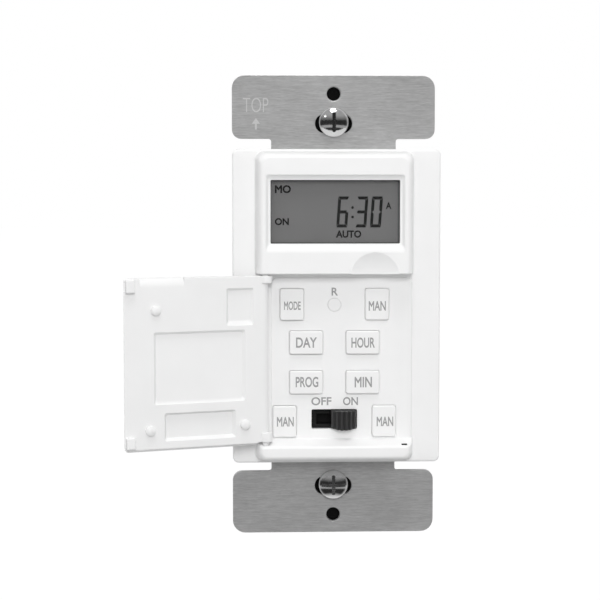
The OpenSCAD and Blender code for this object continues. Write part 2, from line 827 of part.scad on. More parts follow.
// The free edge follows the curved side of the raised face
module door_plan() {
    back_angle = asin((plate_front - door_back) / (face_rise - plate_rise));
    angles = [for (i = [0 : flank_steps]) i * flank_step];
    edge = concat([back_angle], [for (a = angles) if (a > back_angle + cut) a]);
    polygon(concat(
        [[-hinge_x - door_heel, door_front], [-hinge_x - door_heel, door_back]],
        [for (a = edge) [bezel_w / 2 - flank_inset(a), flank_y(a)]]
    ));
}

module door_slab() {
    reach = strap_h / 2;
    intersection() {
        translate([0, 0, -reach]) linear_extrude(2 * reach) door_plan();
        translate([-bezel_w, 0, 0]) rotate([90, 0, 90]) linear_extrude(2 * bezel_w) polygon([
            [door_front - cut, lip_z(door_front - cut) + door_gap],
            [door_front - cut, door_top],
            [door_back + cut, door_top],
            [door_back + cut, lip_z(door_back + cut) + door_gap]
        ]);
    }
}

module door_peg(p) {
    tip = panel_front - manual_rise - peg_gap;
    translate([p[0], 0, p[1]]) intersection() {
        rod_y(peg_d / 2, door_back - sink, tip, 0, 0);
        translate([0, tip - peg_ball_r, 0]) sphere(peg_ball_r);
    }
}

// The bevel that a fingertip lifts, behind the thumb scoop
module finger_bevel() {
    translate([scoop_x - finger_lip_l / 2, 0, 0]) rotate([90, 0, 90])
        linear_extrude(finger_lip_l) polygon([
            [door_back, door_top - finger_lip_h],
            [door_back - finger_lip_d, door_top + hair],
            [door_back + cut, door_top + hair],
            [door_back + cut, door_top - finger_lip_h]
        ]);
}

module closed_door() {
    knob_reach = knob_slot_w / 2 + knob_pocket_margin;
    block_x = bezel_w / 2 - bezel_inset - corner_block_w / 2;
    top_block_z = door_top - corner_block_gap - corner_block_h;
    low_block_z = lip_z(door_back) + door_gap + corner_block_gap;
    difference() {
        union() {
            door_slab();
            rod_z(knuckle_r, door_top - knuckle_h, door_top, -hinge_x, hinge_y);
            rod_z(knuckle_r, knuckle_low, knuckle_low + knuckle_h, -hinge_x, hinge_y);
            for (z = [top_block_z, low_block_z])
                block([block_x, door_back - sink, z],
                      [block_x + corner_block_w, door_back + corner_block_rise, z + corner_block_h]);
        }
        finger_bevel();
        block([-bezel_w, door_front - cut, lip_edge_z],
              [-hinge_x + hinge_relief, door_back + cut, knuckle_low]);
        relief(mode_at[0] - tall_key_w / 2 - pocket_margin, mode_at[0] + tall_key_w / 2 + pocket_margin,
               mode_at[1] - tall_key_h / 2 - pocket_margin, mode_at[1] + tall_key_h / 2 + pocket_margin);
        relief(day_at[0] - wide_key_w / 2 - pocket_margin, hour_at[0] + wide_key_w / 2 + pocket_margin,
               program_row_z - wide_key_h / 2 - pocket_margin, day_row_z + wide_key_h / 2 + pocket_margin);
        relief(-knob_reach, knob_reach,
               knob_z - knob_slot_h / 2 - pocket_margin, knob_z + knob_slot_h / 2 + pocket_margin);
    }
    for (p = manual_places) door_peg(p);
    rod_z(pin_d / 2, door_top - sink, door_top + pin_l, -hinge_x, hinge_y);
    rod_z(pin_d / 2, knuckle_low - pin_l, knuckle_low + sink, -hinge_x, hinge_y);
}

module door() {
    color(cover_colour) translate([-hinge_x, hinge_y, 0]) rotate([0, 0, -door_open])
        translate([hinge_x, -hinge_y, 0]) closed_door();
}

// A key through the panel, with the rim that keeps it behind the panel
module key_cap(p, size, rise) {
    color(cover_colour) {
        slab(panel_front - rise, rim_front) translate(p) rounded(size[0], size[1], key_r);
        slab(rim_front, rim_back) translate(p) rounded(size[0] + 2 * key_rim, size[1] + 2 * key_rim, key_r);
    }
}

module key_mode() { key_cap(mode_at, tall_key, key_rise); }
module key_manual_top() { key_cap(manual_top_at, tall_key, manual_rise); }
module key_day() { key_cap(day_at, wide_key, key_rise); }
module key_hour() { key_cap(hour_at, wide_key, key_rise); }
module key_program() { key_cap(program_at, wide_key, key_rise); }
module key_minute() { key_cap(minute_at, wide_key, key_rise); }
module key_manual_left() { key_cap(manual_left_at, tall_key, manual_rise); }
module key_manual_right() { key_cap(manual_right_at, tall_key, manual_rise); }

module reset_button() {
    color(cover_colour) {
        rod_y(reset_d / 2, panel_front - reset_rise, rim_front, reset_at[0], reset_at[1]);
        rod_y(reset_d / 2 + key_rim, rim_front, rim_back, reset_at[0], reset_at[1]);
    }
}

// The moving pin of a tact switch, face to face with its key
module plunger(p) {
    color(black_colour) rod_y(plunger_d / 2, rim_back, rim_back + plunger_l, p[0], p[1]);
}

module plunger_mode() { plunger(mode_at); }
module plunger_manual_top() { plunger(manual_top_at); }
module plunger_day() { plunger(day_at); }
module plunger_hour() { plunger(hour_at); }
module plunger_program() { plunger(program_at); }
module plunger_minute() { plunger(minute_at); }
module plunger_manual_left() { plunger(manual_left_at); }
module plunger_manual_right() { plunger(manual_right_at); }
module plunger_reset() { plunger(reset_at); }

module tact_switch_bodies() {
    bore_back = rim_back + plunger_l + key_travel + edge_gap;
    color("darkslategray") for (p = concat(tall_key_places, wide_key_places, [reset_at])) difference() {
        slab(tact_front, control_front) translate(p) square(tact_w, center = true);
        rod_y(plunger_d / 2 + plunger_clearance, tact_front - cut, bore_back, p[0], p[1]);
    }
}

// The knob's front bulges along X and is cut by grooves
module slide_knob() {
    top = panel_front - knob_rise;
    ball = (knob_w * knob_w / 4 + knob_bulge * knob_bulge) / (2 * knob_bulge);
    h = knob_slot_h - 2 * knob_gap;
    pitch = knob_w / (knob_grooves + 0.5);
    color(black_colour) translate([knob_on_x, 0, knob_z]) {
        difference() {
            intersection() {
                block([-knob_w / 2, top, -h / 2], [knob_w / 2, slide_front - knob_gap, h / 2]);
                rod_z(ball, -h, h, 0, top + ball);
            }
            for (i = [0 : knob_grooves - 1]) {
                x = (i - (knob_grooves - 1) / 2) * pitch;
                block([x - groove_w / 2, top - cut, -h], [x + groove_w / 2, top + groove_depth, h]);
            }
        }
        block([-stem_w / 2, slide_front - knob_gap - sink, -stem_h / 2],
              [stem_w / 2, slide_front + stem_reach, stem_h / 2]);
    }
}

module slide_contact() {
    color("peru") translate([knob_on_x, slide_front + stem_reach, knob_z])
        block([-stem_w / 2, 0, -stem_h / 2], [stem_w / 2, contact_t, stem_h / 2]);
}

module slide_switch_body() {
    groove_reach = knob_travel / 2 + stem_w / 2 + edge_gap;
    color(black_colour) difference() {
        slab(slide_front, control_front) translate([0, knob_z])
            square([slide_body_w, slide_body_h], center = true);
        block([-groove_reach, slide_front - cut, knob_z - stem_h / 2 - knob_gap],
              [groove_reach, slide_front + stem_reach + contact_t + knob_gap,
               knob_z + stem_h / 2 + knob_gap]);
    }
}

module control_board() {
    color("darkgreen") slab(control_front, control_back) difference() {
        square([control_w, control_h], center = true);
        for (p = housing_screw_places) translate(p) circle(column_r + edge_gap);
        for (p = board_screw_places) translate(p) circle(board_screw_d / 2 + screw_clearance);
        for (x = link_places) translate([x, link_z]) circle(link_pin_d / 2 + screw_clearance);
    }
}

module board_screws() {
    color(steel_colour) for (p = board_screw_places) {
        rod_y(board_screw_d / 2, panel_back + post_floor + edge_gap, control_back, p[0], p[1]);
        rod_y(board_head_d / 2, control_back, control_back + board_head_h, p[0], p[1]);
    }
}

module timer_chip() {
    color(black_colour) block([-chip_w - chip_gap / 2, control_back, chip_top_z - chip_w],
                              [-chip_gap / 2, control_back + chip_t, chip_top_z]);
}

module clock_crystal() {
    r = crystal_d / 2;
    color(steel_colour)
        rod_z(r, chip_top_z - crystal_l, chip_top_z, chip_gap / 2 + r, control_back + r);
}

module backup_cell() {
    front = control_back + clip_t;
    color("lightsteelblue") rod_y(cell_d / 2, front, front + cell_t, 0, cell_z);
}

module cell_clip() {
    inner = cell_d / 2 + edge_gap;
    top = control_back + clip_t + cell_t;
    half = cell_d / 4;
    color(brass_colour) translate([0, 0, cell_z]) {
        block([-inner - clip_t, control_back, -half], [inner + clip_t, control_back + clip_t, half]);
        for (x = sides) translate([x * (inner + clip_t / 2), 0, 0])
            block([-clip_t / 2, control_back, -half], [clip_t / 2, top + clip_t, half]);
        block([-inner - clip_t, top, -half / 2], [inner + clip_t, top + clip_t, half / 2]);
    }
}

// A bar over the row of link pins, with a hole for each pin
module link_bar(y0, y1) {
    slab(y0, y1) difference() {
        translate([0, link_z]) square([link_count * link_pitch, link_pitch], center = true);
        for (x = link_places) translate([x, link_z]) circle(link_pin_d / 2 + thread_clearance);
    }
}

module link_header() {
    color(black_colour) link_bar(control_back, control_back + link_header_h);
}

module link_pins() {
    color(brass_colour) for (x = link_places)
        rod_y(link_pin_d / 2, control_front - link_pin_stub, power_front - edge_gap, x, link_z);
}

module link_socket() {
    color(black_colour) link_bar(control_back + link_header_h, power_front);
}

module insulation_sheet() {
    color("khaki") slab(power_front - sheet_t, power_front) difference() {
        square([sheet_w, power_h - 2 * sheet_margin], center = true);
        translate([0, link_z])
            square([link_count * link_pitch + 2 * edge_gap, link_pitch + 2 * edge_gap], center = true);
    }
}

// Slots let the terminal tails through, and the corners clear the screw columns
module power_board() {
    color("darkolivegreen") slab(power_front, power_back) difference() {
        rounded(power_w, power_h, inner_r);
        for (p = housing_screw_places) translate(p) circle(column_r + edge_gap);
        for (p = terminal_places) translate([p[0] * (pocket_floor_x + terminal_t / 2), p[1]])
            square([terminal_t + 2 * tail_clearance, tail_w + 2 * tail_clearance], center = true);
    }
}

module relay() {
    color("royalblue") block([-parts_x, power_back, relay_low_z],
                             [-parts_x + relay_w, power_back + relay_d, relay_low_z + relay_h]);
}

module film_capacitor() {
    color("firebrick") block([parts_x - film_w, power_back, relay_low_z],
                             [parts_x, power_back + film_d, relay_low_z + film_h]);
}

module filter_capacitors() {
    first_x = -parts_x + filter_d / 2;
    color("midnightblue") for (x = [first_x, first_x + filter_d + part_gap])
        rod_y(filter_d / 2, power_back, power_back + filter_l, x, filter_z);
}

// A disc on two leads
module varistor() {
    disc_y = power_back + lead_lift + varistor_d / 2;
    color("royalblue") {
        rod_x(varistor_d / 2, parts_x - varistor_t, parts_x, disc_y, varistor_z);
        for (z = sides)
            rod_y(lead_r, power_back, disc_y, parts_x - varistor_t / 2, varistor_z + z * varistor_d / 4);
    }
}

module rectifier() {
    top = filter_z - filter_d / 2 - part_gap;
    color(black_colour) block([-parts_x, power_back, top - rectifier_h],
                              [-parts_x + rectifier_w, power_back + rectifier_d, top]);
}

module fuse() {
    fuse_y = power_back + lead_lift + fuse_d / 2;
    fuse_z = varistor_z - varistor_d / 2 - part_gap - fuse_d / 2;
    color("wheat") {
        rod_x(fuse_d / 2, parts_x - fuse_l, parts_x, fuse_y, fuse_z);
        for (x = [parts_x - fuse_l + 2 * lead_r, parts_x - 2 * lead_r])
            rod_y(lead_r, power_back, fuse_y, x, fuse_z);
    }
}

// A terminal's shape drawn on the right side and turned to either side
module on_side(p) {
    translate([0, 0, p[1]]) mirror([p[0] < 0 ? 1 : 0, 0, 0]) children();
}

module rear_housing() {
    wall_half = pocket_w / 2 + pocket_wall;
    color("dimgray") difference() {
        union() {
            difference() {
                slab(0, housing_back) rounded(housing_w, housing_h, housing_r);
                slab(-cut, housing_inside_back) rounded(inner_w, inner_h, inner_r);
            }
            for (p = housing_screw_places) rod_y(column_r, 0, housing_back, p[0], p[1]);
            for (p = terminal_places) on_side(p)
                block([block_inner_x, power_back, -wall_half],
                      [side_x - housing_wall / 2, housing_inside_back + cut / 2, wall_half]);
        }
        for (p = housing_screw_places)
            rod_y(housing_screw_d / 2 + screw_clearance, -cut, housing_back + cut, p[0], p[1]);
        for (p = terminal_places) on_side(p) {
            block([pocket_floor_x, pocket_front, -pocket_w / 2], [side_x + cut, pocket_back, pocket_w / 2]);
            block([pocket_floor_x - tail_clearance, power_back - cut, -tail_w / 2 - tail_clearance],
                  [plate_outer_x + tail_clearance, pocket_front + cut, tail_w / 2 + tail_clearance]);
            rod_x(terminal_screw_d / 2 + screw_clearance, block_inner_x - cut, side_x, terminal_y, 0);
            for (z = sides)
                rod_y(wire_hole_d / 2, pocket_back - cut, housing_back + cut,
                      plate_outer_x + wire_space / 2, z * wire_hole_offset);
        }
        rod_x(ground_screw_d / 2 + edge_gap, side_x - housing_wall - cut, side_x + cut, ground_y, 0);
    }
}

module housing_screws() {
    color(steel_colour) for (p = housing_screw_places) {
        rod_y(housing_screw_d / 2, strap_front - cover_thread_l, housing_back, p[0], p[1]);
        difference() {
            rod_y(housing_head_d / 2, housing_back, housing_back + housing_head_h, p[0], p[1]);
            for (a = [0, 90]) translate([p[0], housing_back + housing_head_h, p[1]]) rotate([0, a, 0])
                cube([housing_cross_l, housing_head_h, housing_cross_w], center = true);
        }
    }
}

module terminal_plates() {
    half = pocket_w / 2 - edge_gap;
    color(brass_colour) for (p = terminal_places) on_side(p) difference() {
        union() {
            block([pocket_floor_x, pocket_front + edge_gap, -half],
                  [plate_outer_x, pocket_back - edge_gap, half]);
            block([pocket_floor_x, power_front - tail_stub, -tail_w / 2],
                  [plate_outer_x, pocket_front + 2 * edge_gap, tail_w / 2]);
        }
        rod_x(terminal_screw_d / 2 + thread_clearance, pocket_floor_x - cut, plate_outer_x + cut,
              terminal_y, 0);
    }
}

module terminal_clamps() {
    half = pocket_w / 2 - edge_gap;
    color("lightgray") for (p = terminal_places) on_side(p) difference() {
        block([clamp_inner_x, pocket_front + clamp_inset, -half],
              [clamp_outer_x, pocket_back - edge_gap, half]);
        rod_x(terminal_screw_d / 2 + thread_clearance, clamp_inner_x - cut, clamp_outer_x + cut,
              terminal_y, 0);
    }
}

module terminal_screws() {
    color(brass_colour) for (p = terminal_places) on_side(p) {
        rod_x(terminal_screw_d / 2, pocket_floor_x - pocket_wall / 2, clamp_outer_x, terminal_y, 0);
        difference() {
            rod_x(terminal_head_d / 2, clamp_outer_x, side_x, terminal_y, 0);
            block([side_x - screw_slot_d, terminal_y - terminal_head_d, -screw_slot_w / 2],
                  [side_x + cut, terminal_y + terminal_head_d, screw_slot_w / 2]);
        }
    }
}

module ground_screw() {
    head = ground_x + strap_t;
    color("limegreen") {
        rod_x(ground_screw_d / 2, side_x - housing_wall / 2, head, ground_y, 0);
        difference() {
            rod_x(ground_head_d / 2, head, head + ground_head_h, ground_y, 0);
            block([head + ground_head_h - screw_slot_d, ground_y - ground_head_d, -screw_slot_w / 2],
                  [head + ground_head_h + cut, ground_y + ground_head_d, screw_slot_w / 2]);
        }
    }
}

mounting_strap();
mounting_screws();
screw_retainers();
front_cover();
display_window();
display_glass();
display_holder();
contact_strips();
door();
key_mode();
key_manual_top();
key_day();
key_hour();
key_program();
key_minute();
key_manual_left();
key_manual_right();
reset_button();
plunger_mode();
plunger_manual_top();
plunger_day();
plunger_hour();
plunger_program();
plunger_minute();
plunger_manual_left();
plunger_manual_right();
plunger_reset();
tact_switch_bodies();
slide_knob();
slide_contact();
slide_switch_body();
control_board();
board_screws();
timer_chip();
clock_crystal();
backup_cell();
cell_clip();
link_header();
link_pins();
link_socket();
insulation_sheet();
power_board();
relay();
film_capacitor();
filter_capacitors();
varistor();
rectifier();
fuse();
rear_housing();
housing_screws();
terminal_plates();
terminal_clamps();
terminal_screws();
ground_screw();
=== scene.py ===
import json
import math

import bmesh
import bpy
import numpy as np
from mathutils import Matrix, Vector
from mathutils.geometry import delaunay_2d_cdt


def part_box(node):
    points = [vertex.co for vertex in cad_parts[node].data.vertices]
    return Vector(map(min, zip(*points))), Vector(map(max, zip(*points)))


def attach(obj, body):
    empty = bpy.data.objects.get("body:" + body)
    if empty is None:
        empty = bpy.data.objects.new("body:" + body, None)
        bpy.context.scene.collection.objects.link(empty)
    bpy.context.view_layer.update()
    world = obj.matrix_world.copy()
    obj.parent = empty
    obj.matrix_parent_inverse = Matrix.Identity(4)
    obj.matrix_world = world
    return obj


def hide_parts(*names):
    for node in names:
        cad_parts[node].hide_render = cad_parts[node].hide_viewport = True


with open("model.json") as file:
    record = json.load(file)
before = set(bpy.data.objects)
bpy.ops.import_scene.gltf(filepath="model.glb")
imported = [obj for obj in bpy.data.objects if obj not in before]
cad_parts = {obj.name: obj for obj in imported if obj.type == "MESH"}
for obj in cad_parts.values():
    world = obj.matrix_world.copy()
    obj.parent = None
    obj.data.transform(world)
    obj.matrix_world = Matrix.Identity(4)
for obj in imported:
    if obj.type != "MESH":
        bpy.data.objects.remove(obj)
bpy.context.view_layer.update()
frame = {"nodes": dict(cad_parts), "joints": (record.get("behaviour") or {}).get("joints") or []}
scene = bpy.context.scene
mm = 0.001  # pieces are worked out in millimetres
print("frame loaded:", len(frame["nodes"]), "nodes")


def placed(name, data):
    obj = bpy.data.objects.new(name, data)
    scene.collection.objects.link(obj)
    return obj


photoView = dict(target=(-7.62, 0, 1.27), distance=375.0, azimuth=-2.47, elevation=3.83,
                 lens=97.65, sensor=36.0, near=0.01)


def setCamera(view):
    around, above = math.radians(view["azimuth"]), math.radians(view["elevation"])
    back = Vector((math.sin(around) * math.cos(above), -math.cos(around) * math.cos(above), math.sin(above)))
    lens = bpy.data.cameras.new("photoCamera")
    lens.lens, lens.sensor_width, lens.clip_start = view["lens"], view["sensor"], view["near"]
    camera = placed("photoCamera", lens)
    camera.location = (Vector(view["target"]) + back * view["distance"]) * mm
    camera.rotation_euler = (-back).to_track_quat("-Z", "Y").to_euler()
    scene.camera = camera


setCamera(photoView)


class Wire:
    # a shader socket that takes part in sums, so wire * 2 + 1 adds its Math nodes
    def __init__(self, tree, socket=None):
        self.tree, self.socket = tree, socket

    def put(self, socket, value):
        if isinstance(value, Wire):
            self.tree.links.new(value.socket, socket)
        else:
            socket.default_value = value

    def make(self, kind, sockets=(), out=0, **settings):
        node = self.tree.nodes.new(kind)
        for key, value in settings.items():
            setattr(node, key, value)
        for key, value in dict(sockets).items():
            self.put(node.inputs[key], value)
        return Wire(self.tree, node.outputs[out])

    def sum(self, operation, first, second):
        return self.make("ShaderNodeMath", {0: first, 1: second}, operation=operation)

    def __add__(self, other):
        return self.sum("ADD", self, other)

    def __mul__(self, other):
        return self.sum("MULTIPLY", self, other)

    def __sub__(self, other):
        return self.sum("SUBTRACT", self, other)

    def __rsub__(self, other):
        return self.sum("SUBTRACT", other, self)

    __radd__, __rmul__ = __add__, __mul__

    # a cloud's share to either side of its middle level
    def sway(self, share):
        return share * (self - 0.5)

    # cloud noise, size in millimetres, stretched along an axis by larger numbers
    def noise(self, size, stretch=(1, 1, 1), detail=3.0):
        spot = self.make("ShaderNodeTexCoord", out="Object")
        spot = self.make("ShaderNodeMapping", {"Vector": spot, "Scale": [1 / part for part in stretch]})
        return self.make("ShaderNodeTexNoise", {"Vector": spot, "Scale": 1 / (size * mm), "Detail": detail})

    def clip(self, value, low, high):
        return self.make("ShaderNodeMapRange", {"Value": value, "From Min": low, "From Max": high})

    # the dark tone below the low limit, the light one above the high limit
    def tone(self, value, low, high, dark, light):
        share = self.clip(value, low, high)
        return self.make("ShaderNodeMix", {0: share, 6: colour(dark), 7: colour(light)}, 2, data_type="RGBA")

    def bump(self, height, depth):
        return self.make("ShaderNodeBump", {"Height": height, "Distance": depth * mm, "Strength": 1.0})

    def ray(self, kind):
        return self.make("ShaderNodeLightPath", out="Is " + kind + " Ray")


# a grey level or a colour as the shader takes it
def colour(tone):
    return [*(np.ones(3) * tone), 1.0]


# plain values of a finish go on the shader's own sockets, its wires are linked
def finish(make, *values, **options):
    made = bpy.data.materials.new("finish")
    made.use_nodes = True
    wire = Wire(made.node_tree)
    for socket, value in make(wire, *values, **options).items():
        wire.put(made.node_tree.nodes["Principled BSDF"].inputs[socket], value)
    return made


# moulded plastic: slow clouds in tone and gloss over the fine grain of the mould
def moulded(wire, light, dark, gloss, grain=0.16, depth=0.006):
    cloud, fine = wire.noise(9.0), wire.noise(grain, detail=1.0)
    return {"IOR": 1.48, "Base Color": wire.tone(cloud, 0.3, 0.7, dark, light),
            "Roughness": gloss + cloud.sway(0.12) + fine.sway(0.06), "Normal": wire.bump(fine, depth)}


# brushed steel: streaks along the brushing in tone, gloss and height, and slow stains
def brushed(wire, light, dark, gloss, metal=0.6, streak=(11, 1, 1), depth=0.004):
    coarse, fine = wire.noise(0.24, streak), wire.noise(0.1, streak, detail=2.0)
    stain = wire.noise(14.0, (1.6, 1, 1))
    level = 0.45 * coarse + 0.3 * fine + 0.35 * stain
    return {"Metallic": metal, "Base Color": wire.tone(level, 0.38, 0.74, dark, light),
            "Roughness": gloss + coarse.sway(0.22) + stain.sway(0.1),
            "Normal": wire.bump(coarse * 0.6 + fine * 0.4, depth)}


# plated metal: small cloudy changes in gloss with faint polishing marks
def plated(wire, light, dark, gloss, depth=0.0015):
    cloud, marks = wire.noise(1.8), wire.noise(0.12, (5, 1, 1), detail=2.0)
    return {"Metallic": 1.0, "Base Color": wire.tone(cloud, 0.3, 0.7, dark, light),
            "Roughness": gloss + cloud.sway(0.1) + marks.sway(0.05), "Normal": wire.bump(marks, depth)}


# fibre strip: pressed paper with short dark flecks
def pressedFibre(wire, light, dark, gloss, depth=0.03):
    fleck = wire.noise(0.5, (1, 3, 1), detail=4.0)
    return {"Specular IOR Level": 0.1, "Base Color": wire.tone(fleck, 0.35, 0.65, dark, light),
            "Roughness": gloss + fleck.sway(0.2), "Normal": wire.bump(fleck, depth)}


# circuit board: lacquer over a crossed weave with paler runs of copper under it
def circuitBoard(wire, light, dark, gloss, depth=0.01):
    across, down = [wire.noise(0.25, stretch, detail=1.0) for stretch in ((6, 1, 1), (1, 1, 6))]
    weave = across * 0.5 + down * 0.5
    runs = wire.clip(wire.noise(2.4, (3, 1, 1), detail=0), 0.5, 0.53)
    return {"Base Color": wire.tone(runs * 0.6 + weave * 0.4, 0.1, 0.9, dark, light),
            "Roughness": gloss + weave.sway(0.12), "Normal": wire.bump(weave + runs, depth)}


# display glass: even grey with the faint cloud of its polariser
def displayGlass(wire, light, dark, gloss):
    cloud = wire.noise(11.0)
    return {"Specular IOR Level": 0.25, "Base Color": wire.tone(cloud, 0.25, 0.75, dark, light),
            "Roughness": gloss + cloud.sway(0.08)}


# clear window: nearly see-through, so the display below shows under a faint gloss
def clearSheet(wire, tone, share, gloss):
    haze = wire.noise(6.0)
    return {"Base Color": colour(tone), "IOR": 1.49, "Alpha": share + haze.sway(0.02),
            "Roughness": gloss + haze.sway(0.05)}


# printed ink: slightly uneven cover; the painted shade band round the display glass uses it too
def printed(wire, light, dark, gloss):
    cover = wire.noise(0.3)
    return {"Specular IOR Level": 0.15, "Base Color": wire.tone(cover, 0.3, 0.7, dark, light),
            "Roughness": gloss + cover.sway(0.1)}


# light tone, dark tone and roughness; for the clear window its tone, cover and roughness
looks = dict(
    coverWhite=finish(moulded, 0.87, 0.85, 0.4),
    doorWhite=finish(moulded, 0.85, 0.83, 0.42, depth=0.008),
    keyWhite=finish(moulded, 0.86, 0.84, 0.36, depth=0.004),
    strapSteel=finish(brushed, 0.75, 0.47, 0.5),
    stampSteel=finish(brushed, 0.9, 0.78, 0.5),
    screwChrome=finish(plated, 0.78, 0.66, 0.13),
    screwZinc=finish(plated, (0.62, 0.62, 0.6014), (0.5, 0.5, 0.475), 0.32),
    # near black: painted shade seen through the wall holes, on the strips that hold the box screws
    stripFibre=finish(pressedFibre, 0.008, 0.003, 0.75),
    windowClear=finish(clearSheet, 0.8, 0.02, 0.06),
    displayGrey=finish(displayGlass, 0.158, 0.15, 0.32),
    segmentInk=finish(printed, 0.004, 0.002, 0.5),
    # painted shade: the band round the display glass stands in for the frame's shadow on it
    rimGrey=finish(printed, 0.1, 0.085, 0.5),
    legendInk=finish(printed, 0.36, 0.31, 0.5),
    holderPale=finish(moulded, 0.6, 0.55, 0.5),
    stripElastomer=finish(moulded, (0.5, 0.42, 0.4), (0.42, 0.34, 0.32), 0.7),
    partBlack=finish(moulded, 0.035, 0.022, 0.42, grain=0.2),
    knobBlack=finish(moulded, 0.046, 0.034, 0.38, grain=0.12, depth=0.004),
    # near black: the slide switch body's own colour, and painted shade on the catch shade sheet
    slotBlack=finish(moulded, 0.012, 0.008, 0.55),
    capacitorBlue=finish(moulded, (0.05, 0.12, 0.4), (0.04, 0.09, 0.32), 0.35),
    capacitorRed=finish(moulded, (0.42, 0.08, 0.05), (0.32, 0.06, 0.04), 0.4),
    boardGreen=finish(circuitBoard, (0.03, 0.22, 0.08), (0.015, 0.12, 0.045), 0.34),
    housingBlack=finish(moulded, 0.05, 0.036, 0.5, grain=0.35, depth=0.02),
    platedBrass=finish(plated, (0.8, 0.6, 0.27), (0.68, 0.48, 0.19), 0.26),
    groundGreen=finish(plated, (0.06, 0.38, 0.11), (0.04, 0.27, 0.08), 0.3),
)
for name, made in looks.items():
    made.name = name
print("finishes:", len(looks))

bothEnds = (-1, 1)
# least corner radius, and how near points meet, doubles merge and slivers dissolve
meshSizes = dict(least=0.02, meet=1e-6, double=0.002, sliver=0.0004)


# polygon with an arc at each corner, both of its sides touching it; inset moves every side inwards
def outline(corners, radii, inset=0, steps=6):
    corner = np.asarray(corners, float)
    along = np.roll(corner, -1, 0) - corner
    along /= np.linalg.norm(along, axis=1)[:, None]
    before = np.roll(along, 1, 0)
    inward = np.stack([-along[:, 1], along[:, 0]], 1)
    inwardBefore = np.roll(inward, 1, 0)
    corner = corner + inset * (inward + inwardBefore) / (1 + (inward * inwardBefore).sum(1))[:, None]
    turn = np.arctan2(before[:, 0] * along[:, 1] - before[:, 1] * along[:, 0], (before * along).sum(1))
    radius = np.maximum(np.broadcast_to(radii, len(corner)) - inset * np.sign(turn), meshSizes["least"])
    start = corner - before * (radius * np.tan(np.abs(turn) / 2))[:, None]
    centre = start + inwardBefore * (radius * np.sign(turn))[:, None]
    spoke, sweep = start - centre, turn[:, None] * np.linspace(0, 1, steps + 1)
    x = spoke[:, :1] * np.cos(sweep) - spoke[:, 1:] * np.sin(sweep) + centre[:, :1]
    z = spoke[:, :1] * np.sin(sweep) + spoke[:, 1:] * np.cos(sweep) + centre[:, 1:]
    return np.stack([x, z], -1).reshape(-1, 2)


def sides(left, right, low, high):
    return [(left, low), (right, low), (right, high), (left, high)]


# corners of a box that reaches further to the left, right, below and above
def spread(box, reach):
    return sides(*(np.array(box[:4]) + np.array(reach) * (-1, 1, -1, 1)))


# shapes that answer with their ring at an inset
def polygon(corners, radii):
    return lambda inset=0: outline(corners, radii, inset)


def boxed(left, right, low, high, radius):
    return polygon(sides(left, right, low, high), radius)


def rectangle(x, z, width, height, radius):
    return boxed(x - width / 2, x + width / 2, z - height / 2, z + height / 2, radius)


def circle(x, z, radius, steps=40):
    turn = np.linspace(0, 2 * np.pi, steps, endpoint=False)
    spoke = np.stack([np.cos(turn), np.sin(turn)], 1)
    return lambda inset=0: (x, z) + (radius - inset) * spoke


# depth and inset of each ring from back to front, a quarter round at either edge
def rounding(back, front, backRound, frontRound, steps=4):
    turn = np.linspace(0, np.pi / 2, steps + 1)
    depth = np.r_[back - backRound * (1 - np.cos(turn)), front + frontRound * (1 - np.sin(turn))]
    inset = np.r_[backRound * (1 - np.sin(turn)), frontRound * (1 - np.cos(turn))]
    return depth, inset


# rings at their depths as one grid of points
def stack(rings, depths):
    rings = np.asarray(rings)
    depth = np.broadcast_to(np.asarray(depths)[:, None], rings.shape[:2])
    return np.stack([rings[..., 0], depth, rings[..., 1]], -1)


